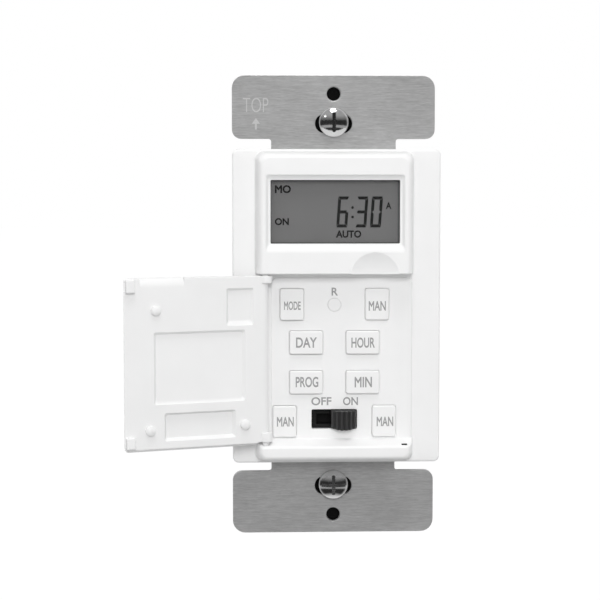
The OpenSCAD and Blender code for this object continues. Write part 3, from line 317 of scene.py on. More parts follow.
class Shell:
    # the surfaces of one piece in millimetres, gathered as arrays and made into one mesh
    def __init__(self):
        self.points, self.faces, self.count = [], [], 0

    def add(self, points, faces):
        points = np.asarray(points, float).reshape(-1, 3)
        self.points.append(points)
        self.faces.append(np.asarray(faces, int) + self.count)
        self.count += len(points)
        return self

    # points joined to the next row and column, the last column to the first
    def grid(self, points):
        rows, columns = points.shape[:2]
        here = np.arange(rows * columns).reshape(rows, columns)
        beside = np.roll(here, -1, 1)
        return self.add(points, np.stack([here[:-1], beside[:-1], beside[1:], here[1:]], -1).reshape(-1, 4))

    # the flat figure inside the first loop and outside the others
    def fill(self, loops, depth):
        starts = np.cumsum([0] + [len(loop) for loop in loops])
        figures = [list(range(start, end)) for start, end in zip(starts[:-1], starts[1:])]
        outer = np.concatenate(loops).tolist()
        spots, _, faces, _, _, owners = delaunay_2d_cdt(outer, [], figures, 1, meshSizes["meet"])
        flat = np.array(spots)
        kept = [face for face, owner in zip(faces, owners) if len(owner) == 1]
        return self.add(np.stack([flat[:, 0], np.full(len(flat), depth), flat[:, 1]], 1), kept)

    # a flat solid with rounded edges, and holes whose walls are straight or follow their own steps
    def plate(self, shape, back, front, edges=(0, 0), holes=(), steps=None):
        depth, inset = rounding(back, front, *edges)
        rings = [shape(step) for step in inset]
        self.grid(stack(rings, depth))
        backs, fronts = [rings[0]], [rings[-1]]
        for number, hole in enumerate(holes):
            depth, inset = steps[number] if steps else rounding(back, front, 0, 0)
            rings = [hole(-step) for step in inset]
            self.grid(stack(rings, depth)[::-1])
            backs.append(rings[0])
            fronts.append(rings[-1])
        return self.fill(backs, back).fill(fronts, front)

    # a profile of radius and height turned about an axis; the ends close on it
    def turned(self, profile, place, axis=1, steps=48):
        profile = np.asarray(profile, float)
        turn = np.linspace(0, 2 * np.pi, steps, endpoint=False)
        across = [number for number in range(3) if number != axis]
        points = np.zeros((len(profile), steps, 3))
        points[..., across[0]] = profile[:, :1] * np.cos(turn)
        points[..., across[1]] = profile[:, :1] * np.sin(turn)
        points[..., axis] = profile[:, 1:]
        return self.grid(points + np.asarray(place, float))

    # axes named anew, such as for a plate drawn in Y and Z along X
    def swapped(self, axes):
        self.points = [points[:, axes] for points in self.points]
        return self

    def mesh(self):
        made = bpy.data.meshes.new("shell")
        faces = [face for group in self.faces for face in group.tolist()]
        made.from_pydata((np.concatenate(self.points) * mm).tolist(), [], faces)
        return tidy(made)


def rod(radius, low, high, place, axis=1, steps=64):
    return Shell().turned([(0, low), (radius, low), (radius, high), (0, high)], place, axis, steps)


# doubles merged, slivers dissolved, faces turned outwards
def tidy(made):
    work = bmesh.new()
    work.from_mesh(made)
    bmesh.ops.remove_doubles(work, verts=work.verts, dist=meshSizes["double"] * mm)
    bmesh.ops.dissolve_degenerate(work, dist=meshSizes["sliver"] * mm, edges=work.edges)
    bmesh.ops.recalc_face_normals(work, faces=work.faces)
    work.to_mesh(made)
    work.free()
    return made


def evaluated(obj):
    bpy.context.view_layer.update()
    return bpy.data.meshes.new_from_object(obj.evaluated_get(bpy.context.evaluated_depsgraph_get()))


def pointsOf(made):
    points = np.empty(len(made.vertices) * 3, np.float32)
    made.vertices.foreach_get("co", points)
    return points.reshape(-1, 3)


# adds solids to a mesh, then takes the cutters from it
def joined(base, added, cutters=()):
    work = placed("work", base)
    helpers = [work]
    for operation, group in (("UNION", added), ("DIFFERENCE", cutters)):
        for shell in group:
            tool = placed("tool", shell.mesh())
            helpers.append(tool)
            step = work.modifiers.new("step", "BOOLEAN")
            step.operation, step.solver, step.object = operation, "EXACT", tool
    made = evaluated(work)
    for helper in helpers:
        bpy.data.objects.remove(helper)
    return tidy(made)


# several meshes gathered into one
def merged(meshes):
    work = bmesh.new()
    for part in meshes:
        work.from_mesh(part)
    made = bpy.data.meshes.new("merged")
    work.to_mesh(made)
    work.free()
    return made


def weightNormals(obj):
    obj.modifiers.new("weighted", "WEIGHTED_NORMAL").keep_sharp = True


# a finished piece: smooth with sharp edges kept, riding on its body
def piece(name, made, slot, look, *nodes, body="frame", sharp=32):
    obj = placed(name, made)
    made.name = name
    made.materials.clear()
    made.materials.append(looks[look])
    made.shade_smooth()
    made.set_sharp_from_angle(angle=math.radians(sharp))
    weightNormals(obj)
    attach(obj, body)
    if nodes:
        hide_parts(*nodes)


def boxOf(node):
    low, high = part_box(node)
    return np.array(low) / mm, np.array(high) / mm


# depths of the main faces along Y; the front looks towards smaller numbers
strapBack, strapFront = 0, -1.3
plateFront, faceFront = -4.3, -9.0
panelBack, panelFront, floorFront = -3.4, -5.0, -4.75
lensFront, glassFront, doorBack = -7.6, -6.6, -6.6
rimBack, rimFront = -2.3, -3.1
faceRise = plateFront - faceFront

# boxes are left, right, low and high; rectangles are middle, width and height, with the corner's radius
coverSizes = dict(
    plate=(0.55, 0, 47.4, 71.6, 1.3), plateEdges=(0.1, 0.5),
    face=(35.8, 70.6), faceCorner=2.0, cornerDraw=0.6, sink=1.0,
    flankInset=1.65, flankSteps=18, footRound=0.5, footSteps=7, blockLow=7.6, edgeSoft=0.35,
    lipFoot=-30.05, lipFillet=0.15, filletSteps=9, lipSlope=0.34, lipSoft=0.5,
    opening=(-14.6, 14.6, 14.5, 28.8, 0.25),
    frameOuter=(0.85, 0.85, 1.1, 0.95), frameRound=(0.4, 0.4, 1.1, 0.35), frameDown=0.3,
    frameCorner=0.6, frameSteps=9,
    frameLedge=(0.5, 0.5, 0.45, 0.45), ledgeCorner=0.4, ledgeDepth=(-8.3, -8.2),
    cavity=(0, 21.2, 31.8, 17.8, 0.3), cavityGap=0.3, gapCorner=0.5,
    keySpace=(-14.95, 14.95, -30.8, 5.6, 0.5),
    floor=(-17.9, 17.11, -31.2, 8.5, 0.3), floorBack=-3.7, floorEdges=(0.05, 0.2),
    floorHole=(-14.3, 16.36, -30.7, 6.25, 0.4),
    panel=(-14.42, 17.86, -31.2, 6.75), panelCorners=(0.3, 0.3, 1.5, 1.5), panelEdges=(0.05, 0.6),
    panelRoll=(0.14, 1.1, 0.4, 0.45),
    scoop=(8.95, -21.82, 7.05), scoopRadius=14.0, scoopRows=97, scoopSteps=128,
    catch=(15.15, 16.45, -32.5, -29.0, 0.05), catchDepth=(-7.55, -8.35),
    hinge=(-15.7, -7.45), bores=((7.0, 10.1), (-32.6, -28.0)), boreRadius=0.95,
    headGap=3.65, headPitch=41.67, headReach=-12.0,
)


# side of the raised face, a quarter ellipse from the plate up to the face: inset at a depth
def flankInset(depth):
    turn = np.arcsin(np.clip((plateFront - depth) / faceRise, 0, 1))
    return coverSizes["flankInset"] * (1 - np.cos(turn))


# quarter round: how far it stands out at a distance from its end
def quarterRound(reach, radius):
    near = np.clip(radius - reach, 0, radius)
    return radius - np.sqrt(radius ** 2 - near ** 2)


# top of the lower lip: a quarter round down from the panel, then a gentle slope forwards; height at a depth
def lipHeight(depth):
    fillet, reach = coverSizes["lipFillet"], panelFront - depth
    fall = fillet - quarterRound(reach, fillet) + coverSizes["lipSlope"] * np.maximum(reach - fillet, 0)
    return coverSizes["lipFoot"] - fall


# wall of a key's opening: close to the key, then a shallow groove round it with a rounded edge
def groove(width, deep, soft):
    front = panelFront
    depth, inset = rounding(front + deep, front, 0, soft)
    return np.r_[panelBack, front + deep, depth], np.r_[0, 0, inset + width]


# rings of the raised face from plate to front, closer over its foot and the lip's fillet
def coverRings(edges, corners):
    sizes, start = coverSizes, plateFront
    side = start - faceRise * np.sin(np.linspace(0, np.pi / 2, sizes["flankSteps"] + 1))
    fillet = panelFront - sizes["lipFillet"] * np.linspace(0, 1, sizes["filletSteps"]) ** 2
    foot = start - sizes["footRound"] * np.linspace(0, 1, sizes["footSteps"]) ** 2
    depth = np.unique(np.r_[start + sizes["sink"], side, fillet, foot].round(4))[::-1]
    return [outline(edges(step, d), corners(step)) for step, d in zip(flankInset(depth), depth)], depth


# the cover: a plate, a display block and a lower lip whose rounded outlines are drawn in along the flank's
# ellipse, and a key panel whose edge rolls down by a quarter round; the thumb scoop is part of a ball
def makeCover(sizes):
    halfX, halfZ = sizes["face"][0] / 2, sizes["face"][1] / 2
    soft, corner, gap = sizes["edgeSoft"], sizes["faceCorner"], 2 * sizes["cavityGap"]
    x, z, width, height, _ = sizes["cavity"]
    slots = [rectangle(x, z, width + gap, height + gap, sizes["gapCorner"]), boxed(*sizes["keySpace"])]
    base = Shell().plate(rectangle(*sizes["plate"]), strapFront, plateFront, sizes["plateEdges"], slots)

    # the flank ends in a hollow round at its foot
    def flank(inset, depth):
        return halfX - inset + quarterRound(plateFront - depth, sizes["footRound"])

    def blockEdges(inset, depth):
        reach, low = flank(inset, depth), sizes["blockLow"] + quarterRound(depth - faceFront, soft)
        return sides(-reach, reach, low, halfZ - inset)

    # the frame of the display block steps down to the window
    rings, depth = coverRings(blockEdges, lambda inset: [soft, soft, corner, corner])
    share = np.linspace(0, 1, sizes["frameSteps"])[:, None]
    reach = sizes["frameOuter"] + (1 - share) * sizes["frameRound"]
    ledge = outline(spread(sizes["opening"], sizes["frameLedge"]), sizes["ledgeCorner"])
    hole = boxed(*sizes["opening"])()
    cavity = rectangle(*sizes["cavity"])()
    frameRings = [outline(spread(sizes["opening"], row), sizes["frameCorner"]) for row in reach]
    frameRings += [ledge, hole, hole, cavity, cavity]
    frameDepth = [*(faceFront + sizes["frameDown"] * share[:, 0] ** 2), *sizes["ledgeDepth"],
                  lensFront, lensFront, depth[0]]
    block = Shell().grid(stack(rings, depth)).grid(stack(frameRings, frameDepth))
    block.fill([rings[-1], frameRings[0]], depth[-1]).fill([rings[0], frameRings[-1]], depth[0])

    def lipEdges(inset, depth):
        reach, fall = flank(inset, depth), quarterRound(depth - faceFront, sizes["lipSoft"])
        return sides(-reach, reach, -halfZ + inset, lipHeight(depth) - fall)

    draw = sizes["cornerDraw"]
    rings, depth = coverRings(lipEdges, lambda inset: [corner - draw * inset] * 2 + [soft, soft])
    lip = Shell().grid(stack(rings, depth)).fill([rings[-1]], depth[-1]).fill([rings[0]], depth[0])

    # the recess floor round the key panel, then the panel with its openings
    floor = Shell().plate(boxed(*sizes["floor"]), sizes["floorBack"], floorFront, sizes["floorEdges"],
                          [boxed(*sizes["floorHole"])])
    holes, gap, roll = [], keySizes["gap"], np.array(sizes["panelRoll"])
    for node in legendSizes:
        x, z, width, height = keyPlace(node)
        holes.append(rectangle(x, z, width + 2 * gap, height + 2 * gap, keySizes["corner"]))
    holes += [circle(*resetSizes["at"], resetSizes["radius"] + gap),
              rectangle(*knobSizes["slotAt"], *knobSizes["slot"], knobSizes["slotCorner"])]
    steps = [groove(*keySizes["groove"])] * len(legendSizes) + [groove(*resetSizes["groove"])]
    steps.append(rounding(panelBack, panelFront, *knobSizes["slotEdges"]))

    def panelRing(inset):
        return outline(spread(sizes["panel"], -inset * roll), sizes["panelCorners"])

    panel = Shell().plate(panelRing, panelBack, panelFront, sizes["panelEdges"], holes, steps)

    rise = np.linspace(-np.pi / 2, np.pi / 2, sizes["scoopRows"])
    ball = sizes["scoopRadius"] * np.stack([np.cos(rise), np.sin(rise)], 1)
    cutters = [Shell().turned(ball, sizes["scoop"], steps=sizes["scoopSteps"])]
    pivot = (*sizes["hinge"], 0)
    cutters += [rod(sizes["boreRadius"], *ends, pivot, axis=2, steps=32) for ends in sizes["bores"]]
    cutters.append(Shell().plate(boxed(*sizes["catch"]), *sizes["catchDepth"]))
    cutters += [rod(sizes["headGap"], sizes["headReach"], 0, (0, 0, side * sizes["headPitch"]))
                for side in bothEnds]
    return joined(base.mesh(), [floor, block, lip, panel], cutters)


shadeSizes = dict(over=0.05, below=0.04, behind=0.02, ahead=0.06)


# a near-black sheet at the back of the catch slot: painted shade for the dark inside of the slot
def makeCatchShade(sizes):
    left, right, low, _, corner = coverSizes["catch"]
    back, over = coverSizes["catchDepth"][0], sizes["over"]
    figure = boxed(left - over, right + over, low + over, lipHeight(back) - sizes["below"], corner)
    return Shell().plate(figure, back + sizes["behind"], back - sizes["ahead"]).mesh()


# a groove is its width, depth and edge
keySizes = dict(rim=0.6, rimEdges=(0.08, 0.08), gap=0.04, corner=0.5, sink=0.3, capEdges=(0.05, 0.3),
                groove=(0.11, 0.2, 0.06))
resetSizes = dict(at=(0, 0.5), radius=1.5, edge=0.06, proud=0.03, groove=(0.01, 0.06, 0.02))
knobSizes = dict(slotAt=(0, -25.7), slot=(10.4, 4.5), slotCorner=0.35, slotEdges=(0.02, 0.08),
                 top=-23.7, columns=181, bulge=1.6, grooves=5, land=0.5, grooveDepth=0.5,
                 grooveSharp=1.6, endStep=0.25, endRound=0.2, drawDepth=2.0, sag=0.4,
                 sagFront=-5.1, sagFade=0.4, body=-3.3, stem=(-25.85, 3.0, 2.0, 0.2), stemBack=-1.2,
                 stemSink=0.3)


def keyPlace(node):
    low, high = boxOf(node)
    (x, _, z), (width, _, height) = (low + high) / 2, high - low - 2 * keySizes["rim"]
    return x, z, width, height


# a key: a cap with a rounded front edge on a wider rim
def makeKey(node):
    x, z, width, height = keyPlace(node)
    rim, corner, foot = keySizes["rim"], keySizes["corner"], rimFront
    skirt = Shell().plate(rectangle(x, z, width + 2 * rim, height + 2 * rim, corner), rimBack, foot,
                          keySizes["rimEdges"])
    cap = Shell().plate(rectangle(x, z, width, height, corner), foot + keySizes["sink"], boxOf(node)[0][1],
                        keySizes["capEdges"])
    return joined(skirt.mesh(), [cap])


# the reset button: a turned profile, flat with a rounded rim and a wider foot
def makeReset(sizes):
    back, foot, front = boxOf("reset_button")[1][1], rimFront, panelFront - sizes["proud"]
    radius, rim, edge = sizes["radius"], sizes["radius"] + keySizes["rim"], sizes["edge"]
    turn = np.linspace(0, np.pi / 2, 6)
    top = np.stack([radius - edge + edge * np.cos(turn), front + edge - edge * np.sin(turn)], 1)
    profile = [(0, back), (rim, back), (rim, foot), (radius, foot), *top, (0, front)]
    return Shell().turned(profile, (sizes["at"][0], 0, sizes["at"][1])).mesh()


# the slide knob: a bulged, grooved profile in plan carried down its height and drawn in at both ends;
# in front of the panel its lower side sags by a parabola along X
def makeKnob(sizes):
    low, high = boxOf("slide_knob")
    middle, half, base, top = (low[0] + high[0]) / 2, (high[0] - low[0]) / 2, low[2], sizes["top"]
    grooves, body, soft = sizes["grooves"], sizes["body"], sizes["endRound"]
    x = np.linspace(-half, half, sizes["columns"])
    pitch = 2 * half / (grooves + sizes["land"])
    wave = np.where(np.abs(x) < (grooves / 2) * pitch, 0.5 + 0.5 * np.cos(2 * np.pi * x / pitch), 0)
    front = low[1] + sizes["bulge"] * (x / half) ** 2 + sizes["grooveDepth"] * wave ** sizes["grooveSharp"]
    front[[0, -1]] += sizes["endStep"]
    plan = np.concatenate([np.stack([x, front], 1), [(half, body), (-half, body)]])
    turn = np.linspace(0, np.pi / 2, 6)
    rise = soft * (1 - np.sin(turn))
    height = np.r_[base + rise[::-1], top - rise]
    draw = soft * (1 - np.cos(np.r_[turn[::-1], turn]))
    rings = np.repeat(plan[None], len(height), 0)
    rings[..., 1] += draw[:, None] * np.clip((body - rings[..., 1]) / sizes["drawDepth"], 0, 1)
    caps = Shell().fill([rings[0]], height[0]).fill([rings[-1]], height[-1]).swapped([0, 2, 1])
    made = Shell().grid(stack(rings, height)[..., [0, 2, 1]])
    made.add(np.concatenate(caps.points), np.concatenate(caps.faces))
    for points in made.points:
        ahead = np.clip((sizes["sagFront"] - points[:, 1]) / sizes["sagFade"], 0, 1)
        hang = sizes["sag"] * (1 - (points[:, 0] / half) ** 2) * ahead
        points[:, 2] -= hang * (top - points[:, 2]) / (top - base)
        points[:, 0] += middle
    stem = Shell().plate(rectangle(middle, *sizes["stem"]), sizes["stemBack"], body - sizes["stemSink"])
    return joined(made.mesh(), [stem])


doorSizes = dict(
    heel=-16.0, heelSoft=0.9, heelEnd=0.999, top=7.3, low=(-30.55, -31.35), edges=(0.22, 0.35),
    notch=(-13.6, -30.4), corners=(0.3, 0.25, 0.3, 0.7, 0.7, 0.3), sink=0.4,
    # radius, low end, high end and the foot's cone: two knuckles and the slim barrel between them
    knuckles=((1.55, 5.6, 7.3, 0), (1.55, -30.38, -28.24, 0.3), (0.5, -28.4, 5.8, 0)), knuckleSoft=0.15,
    pin=0.8, pinBevel=0.15, pins=((7.0, 9.68), (-32.32, -29.6)),
    # box, depth, and how far the left, right, lower and upper wall leans
    pockets=(((-12.4, -6.1, -3.6, 4.6), 0.6, (0.5, 0.55, 0.8, 0.45)),
             ((-10.4, 10.8, -20.6, -4.75), 0.6, (0.5, 0.55, 0.8, 0.45)),
             ((-8.1, 8.4, -28.8, -22.7), 0.9, (0.5, 0.55, 0.6, 0.45))),
    pocketCorner=0.4, pocketEdge=0.1, pocketStep=0.02, pocketFloorCorner=0.3,
    pegs=((10.45, 0.2), (-10.35, -26.1), (11.8, -26.35)), peg=1.12, pegBall=1.9, pegTip=-5.65,
    blocks=((15.3, 17.42, 4.1, 7.05, 0.35), (15.3, 17.42, -30.2, -27.6, 0.35)), blockRise=1.0,
    blockEdges=(0.3, 0),
    finger=(3.85, 14.05, 2.1, 2.6), fingerSlack=0.1, fingerReach=1.0,  # from, to, height, radius
)


# the door, drawn closed: outlines from its inner face to the front, with the flank's ellipse at the free
# edge and a quarter round at the heel; leaning pockets and ball-tipped pegs; then turned about the hinge
def makeDoor(sizes, hinge, opened):
    back, front, pivot = doorBack, faceFront, (*coverSizes["hinge"], 0)
    depth, soft = rounding(back, front, *sizes["edges"], steps=5)
    near = np.clip((depth - back + sizes["heelSoft"]) / sizes["heelSoft"], 0, sizes["heelEnd"])
    heel = sizes["heel"] + sizes["heelSoft"] * (1 - np.sqrt(1 - near ** 2))
    left = np.maximum(heel, sizes["heel"] + soft)
    right = coverSizes["face"][0] / 2 - flankInset(depth) - soft
    share = (back - depth) / (back - front)
    low, high = np.interp(share, (0, 1), sizes["low"]) + soft, sizes["top"] - soft
    notchX, notchZ = np.add.outer(sizes["notch"], soft)
    corners = np.stack([left, notchZ, notchX, notchZ, notchX, low, right, low, right, high, left, high], 1)
    rings = [outline(row, sizes["corners"]) for row in corners.reshape(-1, 6, 2)]
    slab, loops, edge = Shell().grid(stack(rings, depth)), [rings[0]], sizes["pocketEdge"]
    for box, deep, lean in sizes["pockets"]:
        wide = boxed(*box, sizes["pocketCorner"])
        floor = outline(spread(box, -np.array(lean)), sizes["pocketFloorCorner"])
        wall = [wide(-edge), wide(-sizes["pocketStep"]), floor]
        slab.grid(stack(wall, [back, back - edge, back - deep])).fill([floor], back - deep)
        loops.append(wall[0])
    slab.fill(loops, back).fill([rings[-1]], depth[-1])

    added = []
    soft, turn = sizes["knuckleSoft"], np.linspace(0, np.pi / 2, 5)
    for radius, low, high, cone in sizes["knuckles"]:
        foot = np.stack([radius - soft + soft * np.sin(turn), low + soft - soft * np.cos(turn)], 1)
        head = np.stack([radius - soft + soft * np.cos(turn), high - soft + soft * np.sin(turn)], 1)
        added.append(Shell().turned([(0, low - cone), *foot, *head, (0, high)], pivot, axis=2))
    radius, bevel = sizes["pin"], sizes["pinBevel"]
    for low, high in sizes["pins"]:
        foot, head = [(0, low), (radius - bevel, low)], [(radius - bevel, high), (0, high)]
        profile = [*foot, (radius, low + bevel), (radius, high - bevel), *head]
        added.append(Shell().turned(profile, pivot, axis=2, steps=32))
    ball, shank, root = sizes["pegBall"], sizes["peg"], back - sizes["sink"]
    cap = np.linspace(math.asin(shank / ball), 0, 10)
    dome = np.stack([ball * np.sin(cap), sizes["pegTip"] - ball + ball * np.cos(cap)], 1)
    added += [Shell().turned([(0, root), (shank, root), *dome], (x, 0, z)) for x, z in sizes["pegs"]]
    added += [Shell().plate(boxed(*box), back + sizes["blockRise"], root, sizes["blockEdges"])
              for box in sizes["blocks"]]

    # what the rounded finger edge takes off: an arc in depth and height, carried along X
    left, right, tall, radius = sizes["finger"]
    top, slack, reach = sizes["top"], sizes["fingerSlack"], back + sizes["fingerReach"]
    rise = np.linspace(0, tall + slack, 12)
    arc = np.stack([back - radius + np.sqrt(radius ** 2 - rise ** 2), top - tall + rise], 1)
    cut = np.array([(reach, top + slack), (reach, top - tall), *arc])[::-1]
    wedge = Shell().plate(lambda inset: cut, left, right).swapped([1, 0, 2])
    made = joined(slab.mesh(), added, [wedge])

    points, turn = pointsOf(made), math.radians(opened)
    x, y = points[:, 0] - hinge[0], points[:, 1] - hinge[1]
    points[:, 0] = hinge[0] + x * math.cos(turn) + y * math.sin(turn)
    points[:, 1] = hinge[1] - x * math.sin(turn) + y * math.cos(turn)
    made.vertices.foreach_set("co", points.ravel())
    made.update()
    return made


strapSizes = dict(
    ear=(23.2, 52.6, 38.2, 2.9, 2.1), neck=14.25, middle=(22.5, 35.3, 1.8), fillet=0.6, edge=0.14,
    window=(0, 0, 36.0, 60.4, 3.0), slot=(8.5, 4.3, 41.67), slotFlat=0.01, wallHole=(1.55, 48.42),
    wallFlare=0.35, housingHoles=(15.5, 32.5, 1.35),
    tab=(-4.5, 4.5, 11.5), tabSides=(21.1, 22.4), tabSink=0.35, tabCorners=(0.1, 1.2, 1.2, 0.1),
    tabHole=(6.9, 0, 1.8),
)


# the strap: a sheet with one quarter of its outline mirrored both ways, and a bent tab drawn in Y and Z
def makeStrap(sizes):
    (earX, earTop, earLow, earRound, inner), (midX, midZ, midRound) = sizes["ear"], sizes["middle"]
    neck, fillet, edge = sizes["neck"], sizes["fillet"], sizes["edge"]
    quarter = [(midX, midZ), (neck, midZ), (neck, earLow), (earX, earLow), (earX, earTop)]
    radii = [midRound, fillet, fillet, inner, earRound]
    corners = [(x * across, z * up) for across, up in ((1, 1), (-1, 1), (-1, -1), (1, -1))
               for x, z in quarter[::across * up]]
    length, width, pitch = sizes["slot"]
    radius, wall = sizes["wallHole"]
    screwX, screwZ, screwRadius = sizes["housingHoles"]
    holes = [rectangle(*sizes["window"])]
    holes += [rectangle(0, up * pitch, length, width, width / 2 - sizes["slotFlat"]) for up in bothEnds]
    holes += [circle(across * screwX, up * screwZ, screwRadius) for across in bothEnds for up in bothEnds]
    flared = [circle(0, up * wall, radius) for up in bothEnds]
    faces = (strapBack, strapFront)
    steps = [rounding(*faces, edge, edge)] * len(holes)
    steps += [rounding(*faces, edge, sizes["wallFlare"])] * len(flared)
    shape = polygon(corners, (radii + radii[::-1]) * 2)
    sheet = Shell().plate(shape, *faces, (edge, edge), holes + flared, steps)
    low, high, reach = sizes["tab"]
    figure = sides(strapFront + sizes["tabSink"], reach, low, high)
    tab = Shell().plate(polygon(figure, sizes["tabCorners"]), *sizes["tabSides"], (edge, edge),
                        [circle(*sizes["tabHole"])])
    return joined(sheet.mesh(), [tab.swapped([1, 0, 2])])


boxScrewSizes = dict(
    pitch=41.67, lift=0.3, head=3.4, rim=0.8, rimSoft=0.18, rimStep=0.1, dome=1.36,
    slot=(8.0, 0.8, 0.05), cross=(0.8, 4.6, 0.3), slotDepth=0.85, crossRise=0.15, above=1.0,
    neck=1.5, sink=0.2, neckOver=(0.1, 0.3), thread=1.74, root=1.38, threadPitch=0.794,
    crest=1.25, taper=(1.2, 0.55), start=1.2, reach=18.95, threadRows=220, threadSteps=28,
)


# a box screw: turned head and neck, then a thread whose radius is a triangle wave of turn and depth
def makeBoxScrews(sizes):
    front, start, end = strapFront, sizes["start"], sizes["reach"]
    sunk = front + sizes["sink"]
    head, rim, soft, step, neck = [sizes[key] for key in ("head", "rim", "rimSoft", "rimStep", "neck")]
    ball = (head ** 2 + sizes["dome"] ** 2) / (2 * sizes["dome"])
    sweep = np.linspace(math.asin((head - step) / ball), 0, 18)
    crown = front - rim - sizes["dome"]
    dome = np.stack([ball * np.sin(sweep), crown + ball * (1 - np.cos(sweep))], 1)
    profile = [(0, sunk), (neck, sunk), (neck, front), (head - soft, front), (head, front - soft),
               (head, front - rim + step), *dome]
    floor, above = crown + sizes["slotDepth"], crown - sizes["above"]

    depth = np.r_[start, np.linspace(start, end, sizes["threadRows"]), end][:, None]
    turn = np.linspace(0, 2 * np.pi, sizes["threadSteps"], endpoint=False)
    phase = (depth / sizes["threadPitch"] + turn / (2 * np.pi)) % 1.0
    height = np.clip((1 - np.abs(2 * phase - 1)) * sizes["crest"], 0, 1)
    taper = np.clip((end - depth) / sizes["taper"][0], sizes["taper"][1], 1)
    radius = (sizes["root"] + (sizes["thread"] - sizes["root"]) * height) * taper
    radius[[0, -1]] = 0
    points = stack(np.stack([radius * np.cos(turn), radius * np.sin(turn)], -1), depth[:, 0])

    parts = []
    for side in bothEnds:
        place = (0, 0, side * sizes["pitch"] + sizes["lift"])
        flat = Shell().plate(rectangle(0, place[2], *sizes["slot"]), floor, above)
        cross = Shell().plate(rectangle(0, place[2], *sizes["cross"]), floor + sizes["crossRise"], above)
        carved = joined(Shell().turned(profile, place, steps=72).mesh(), [], [flat, cross])
        shank = rod(neck, front + sizes["neckOver"][0], start + sizes["neckOver"][1], place, steps=40)
        parts = [carved, Shell().grid(points + place).mesh(), shank.mesh()] + parts
    return merged(parts)


stripSizes = dict(pitch=41.67, half=4.4, low=37.3, high=51.4, thick=0.8, neck=1.6, corner=2.2,
                  edges=(0.12, 0.05))


# fibre strips behind the strap, which hold the box screws; their near-black tone and their reach up behind
# the wall holes are painted shade, so those holes read dark
def makeStripsAndHoleShade(sizes):
    shell, half = Shell(), sizes["half"]
    for side in bothEnds:
        low, high = sorted((side * sizes["low"], side * sizes["high"]))
        figure = boxed(-half, half, low, high, sizes["corner"])
        hole = circle(0, side * sizes["pitch"], sizes["neck"])
        shell.plate(figure, strapBack + sizes["thick"], strapBack, sizes["edges"], [hole])
    return shell.mesh()


wordSizes = dict(extrude=0.5, curveSteps=6)


# words from the built-in font, each fitted to its centre, width and height and raised from a depth
def addWords(shell, words, depth, rise, weight):
    for text, x, z, width, height in words:
        curve = bpy.data.curves.new("words", "FONT")
        curve.body, curve.extrude, curve.resolution_u = text, wordSizes["extrude"], wordSizes["curveSteps"]
        curve.offset, curve.bevel_depth, curve.bevel_resolution = min(weight, 0), max(weight, 0), 0
        letters = placed("words", curve)
        made = evaluated(letters)
        made.calc_loop_triangles()
        faces = np.empty(len(made.loop_triangles) * 3, np.int32)
        made.loop_triangles.foreach_get("vertices", faces)
        points = pointsOf(made)
        low, high = points.min(0), points.max(0)
        share = (points - low) / (high - low)
        place = np.stack([x + (share[:, 0] - 0.5) * width, depth - rise + (1 - share[:, 2]) * rise,
                          z + (share[:, 1] - 0.5) * height], 1)
        shell.add(place, faces.reshape(-1, 3))
        bpy.data.objects.remove(letters)
        bpy.data.curves.remove(curve)
    return shell


displaySizes = dict(
    words=(("MO", -11.77, 26.75, 3.61, 1.8), ("ON", -12.0, 19.44, 3.16, 1.6),
           ("AUTO", 3.08, 16.62, 5.75, 1.67), ("A", 12.14, 23.03, 1.24, 1.53)),
    # the segments of 6, 3 and 0, and where each digit stands
    digits=(("afgedc", 1.77), ("abgcd", 6.07), ("abcdef", 9.38)), digit=(2.5, 7.0), middle=21.61,
    stroke=(0.7, 0.66), gap=0.05, mitre=0.3, point=0.6, lean=0.07, corner=0.04,
    colon=(3.98, (22.6, 20.46), 0.31), colonSteps=16, rise=0.012, weight=0.035,
)


# a digit's segments: mitred bars along its outline and a pointed one across, leaning to the right
def makeReadout(sizes):
    shell, back = Shell(), glassFront
    front = back - sizes["rise"]
    wide, tall, gap, mitre = sizes["digit"][0] / 2, sizes["digit"][1] / 2, sizes["gap"], sizes["mitre"]
    thick, post = sizes["stroke"]  # heights of the level bars, widths of the upright ones
    half, inner, point = thick / 2, tall - thick, wide - post * sizes["point"]
    end = wide - gap
    level = [(-end, tall), (-end + mitre, inner), (end - mitre, inner), (end, tall)]
    upright = [(wide, tall - 2 * gap), (wide - mitre, inner - gap), (wide - post, inner - gap),
               (wide - post, half + gap), (wide - post / 2, gap), (wide, gap)]
    cross = [(-wide + 2 * gap, 0), (-point, -half), (point, -half), (wide - post / 2 - gap, 0),
             (point, half), (-point, half)]
    flips = {"a": (level, 1, 1), "d": (level, 1, -1), "g": (cross, 1, 1), "b": (upright, 1, 1),
             "c": (upright, 1, -1), "e": (upright, -1, -1), "f": (upright, -1, 1)}
    for names, x in sizes["digits"]:
        for name in names:
            bar, across, up = flips[name]
            ring = (np.array(bar) * (across, up))[::across * up]
            ring = ring + np.stack([ring[:, 1] * sizes["lean"] + x, np.full(len(ring), sizes["middle"])], 1)
            shell.plate(polygon(ring, sizes["corner"]), back, front)
    x, heights, radius = sizes["colon"]
    for z in heights:
        shell.plate(circle(x, z, radius, sizes["colonSteps"]), back, front)
    return addWords(shell, sizes["words"], back, sizes["rise"], sizes["weight"])


rimShadeSizes = dict(outer=(0.3, 0.3, 0.3, 0.3), inner=(-0.2, -0.4, -0.28, -0.3), corner=0.1, rise=0.01)


# a dark band round the display glass: painted shade where the frame shades the recessed display
def makeDisplayRimShade(sizes):
    corners = [spread(coverSizes["opening"], sizes[edge]) for edge in ("outer", "inner")]
    outer, inner = [polygon(group, sizes["corner"]) for group in corners]
    return Shell().plate(outer, glassFront, glassFront - sizes["rise"], holes=[inner]).mesh()


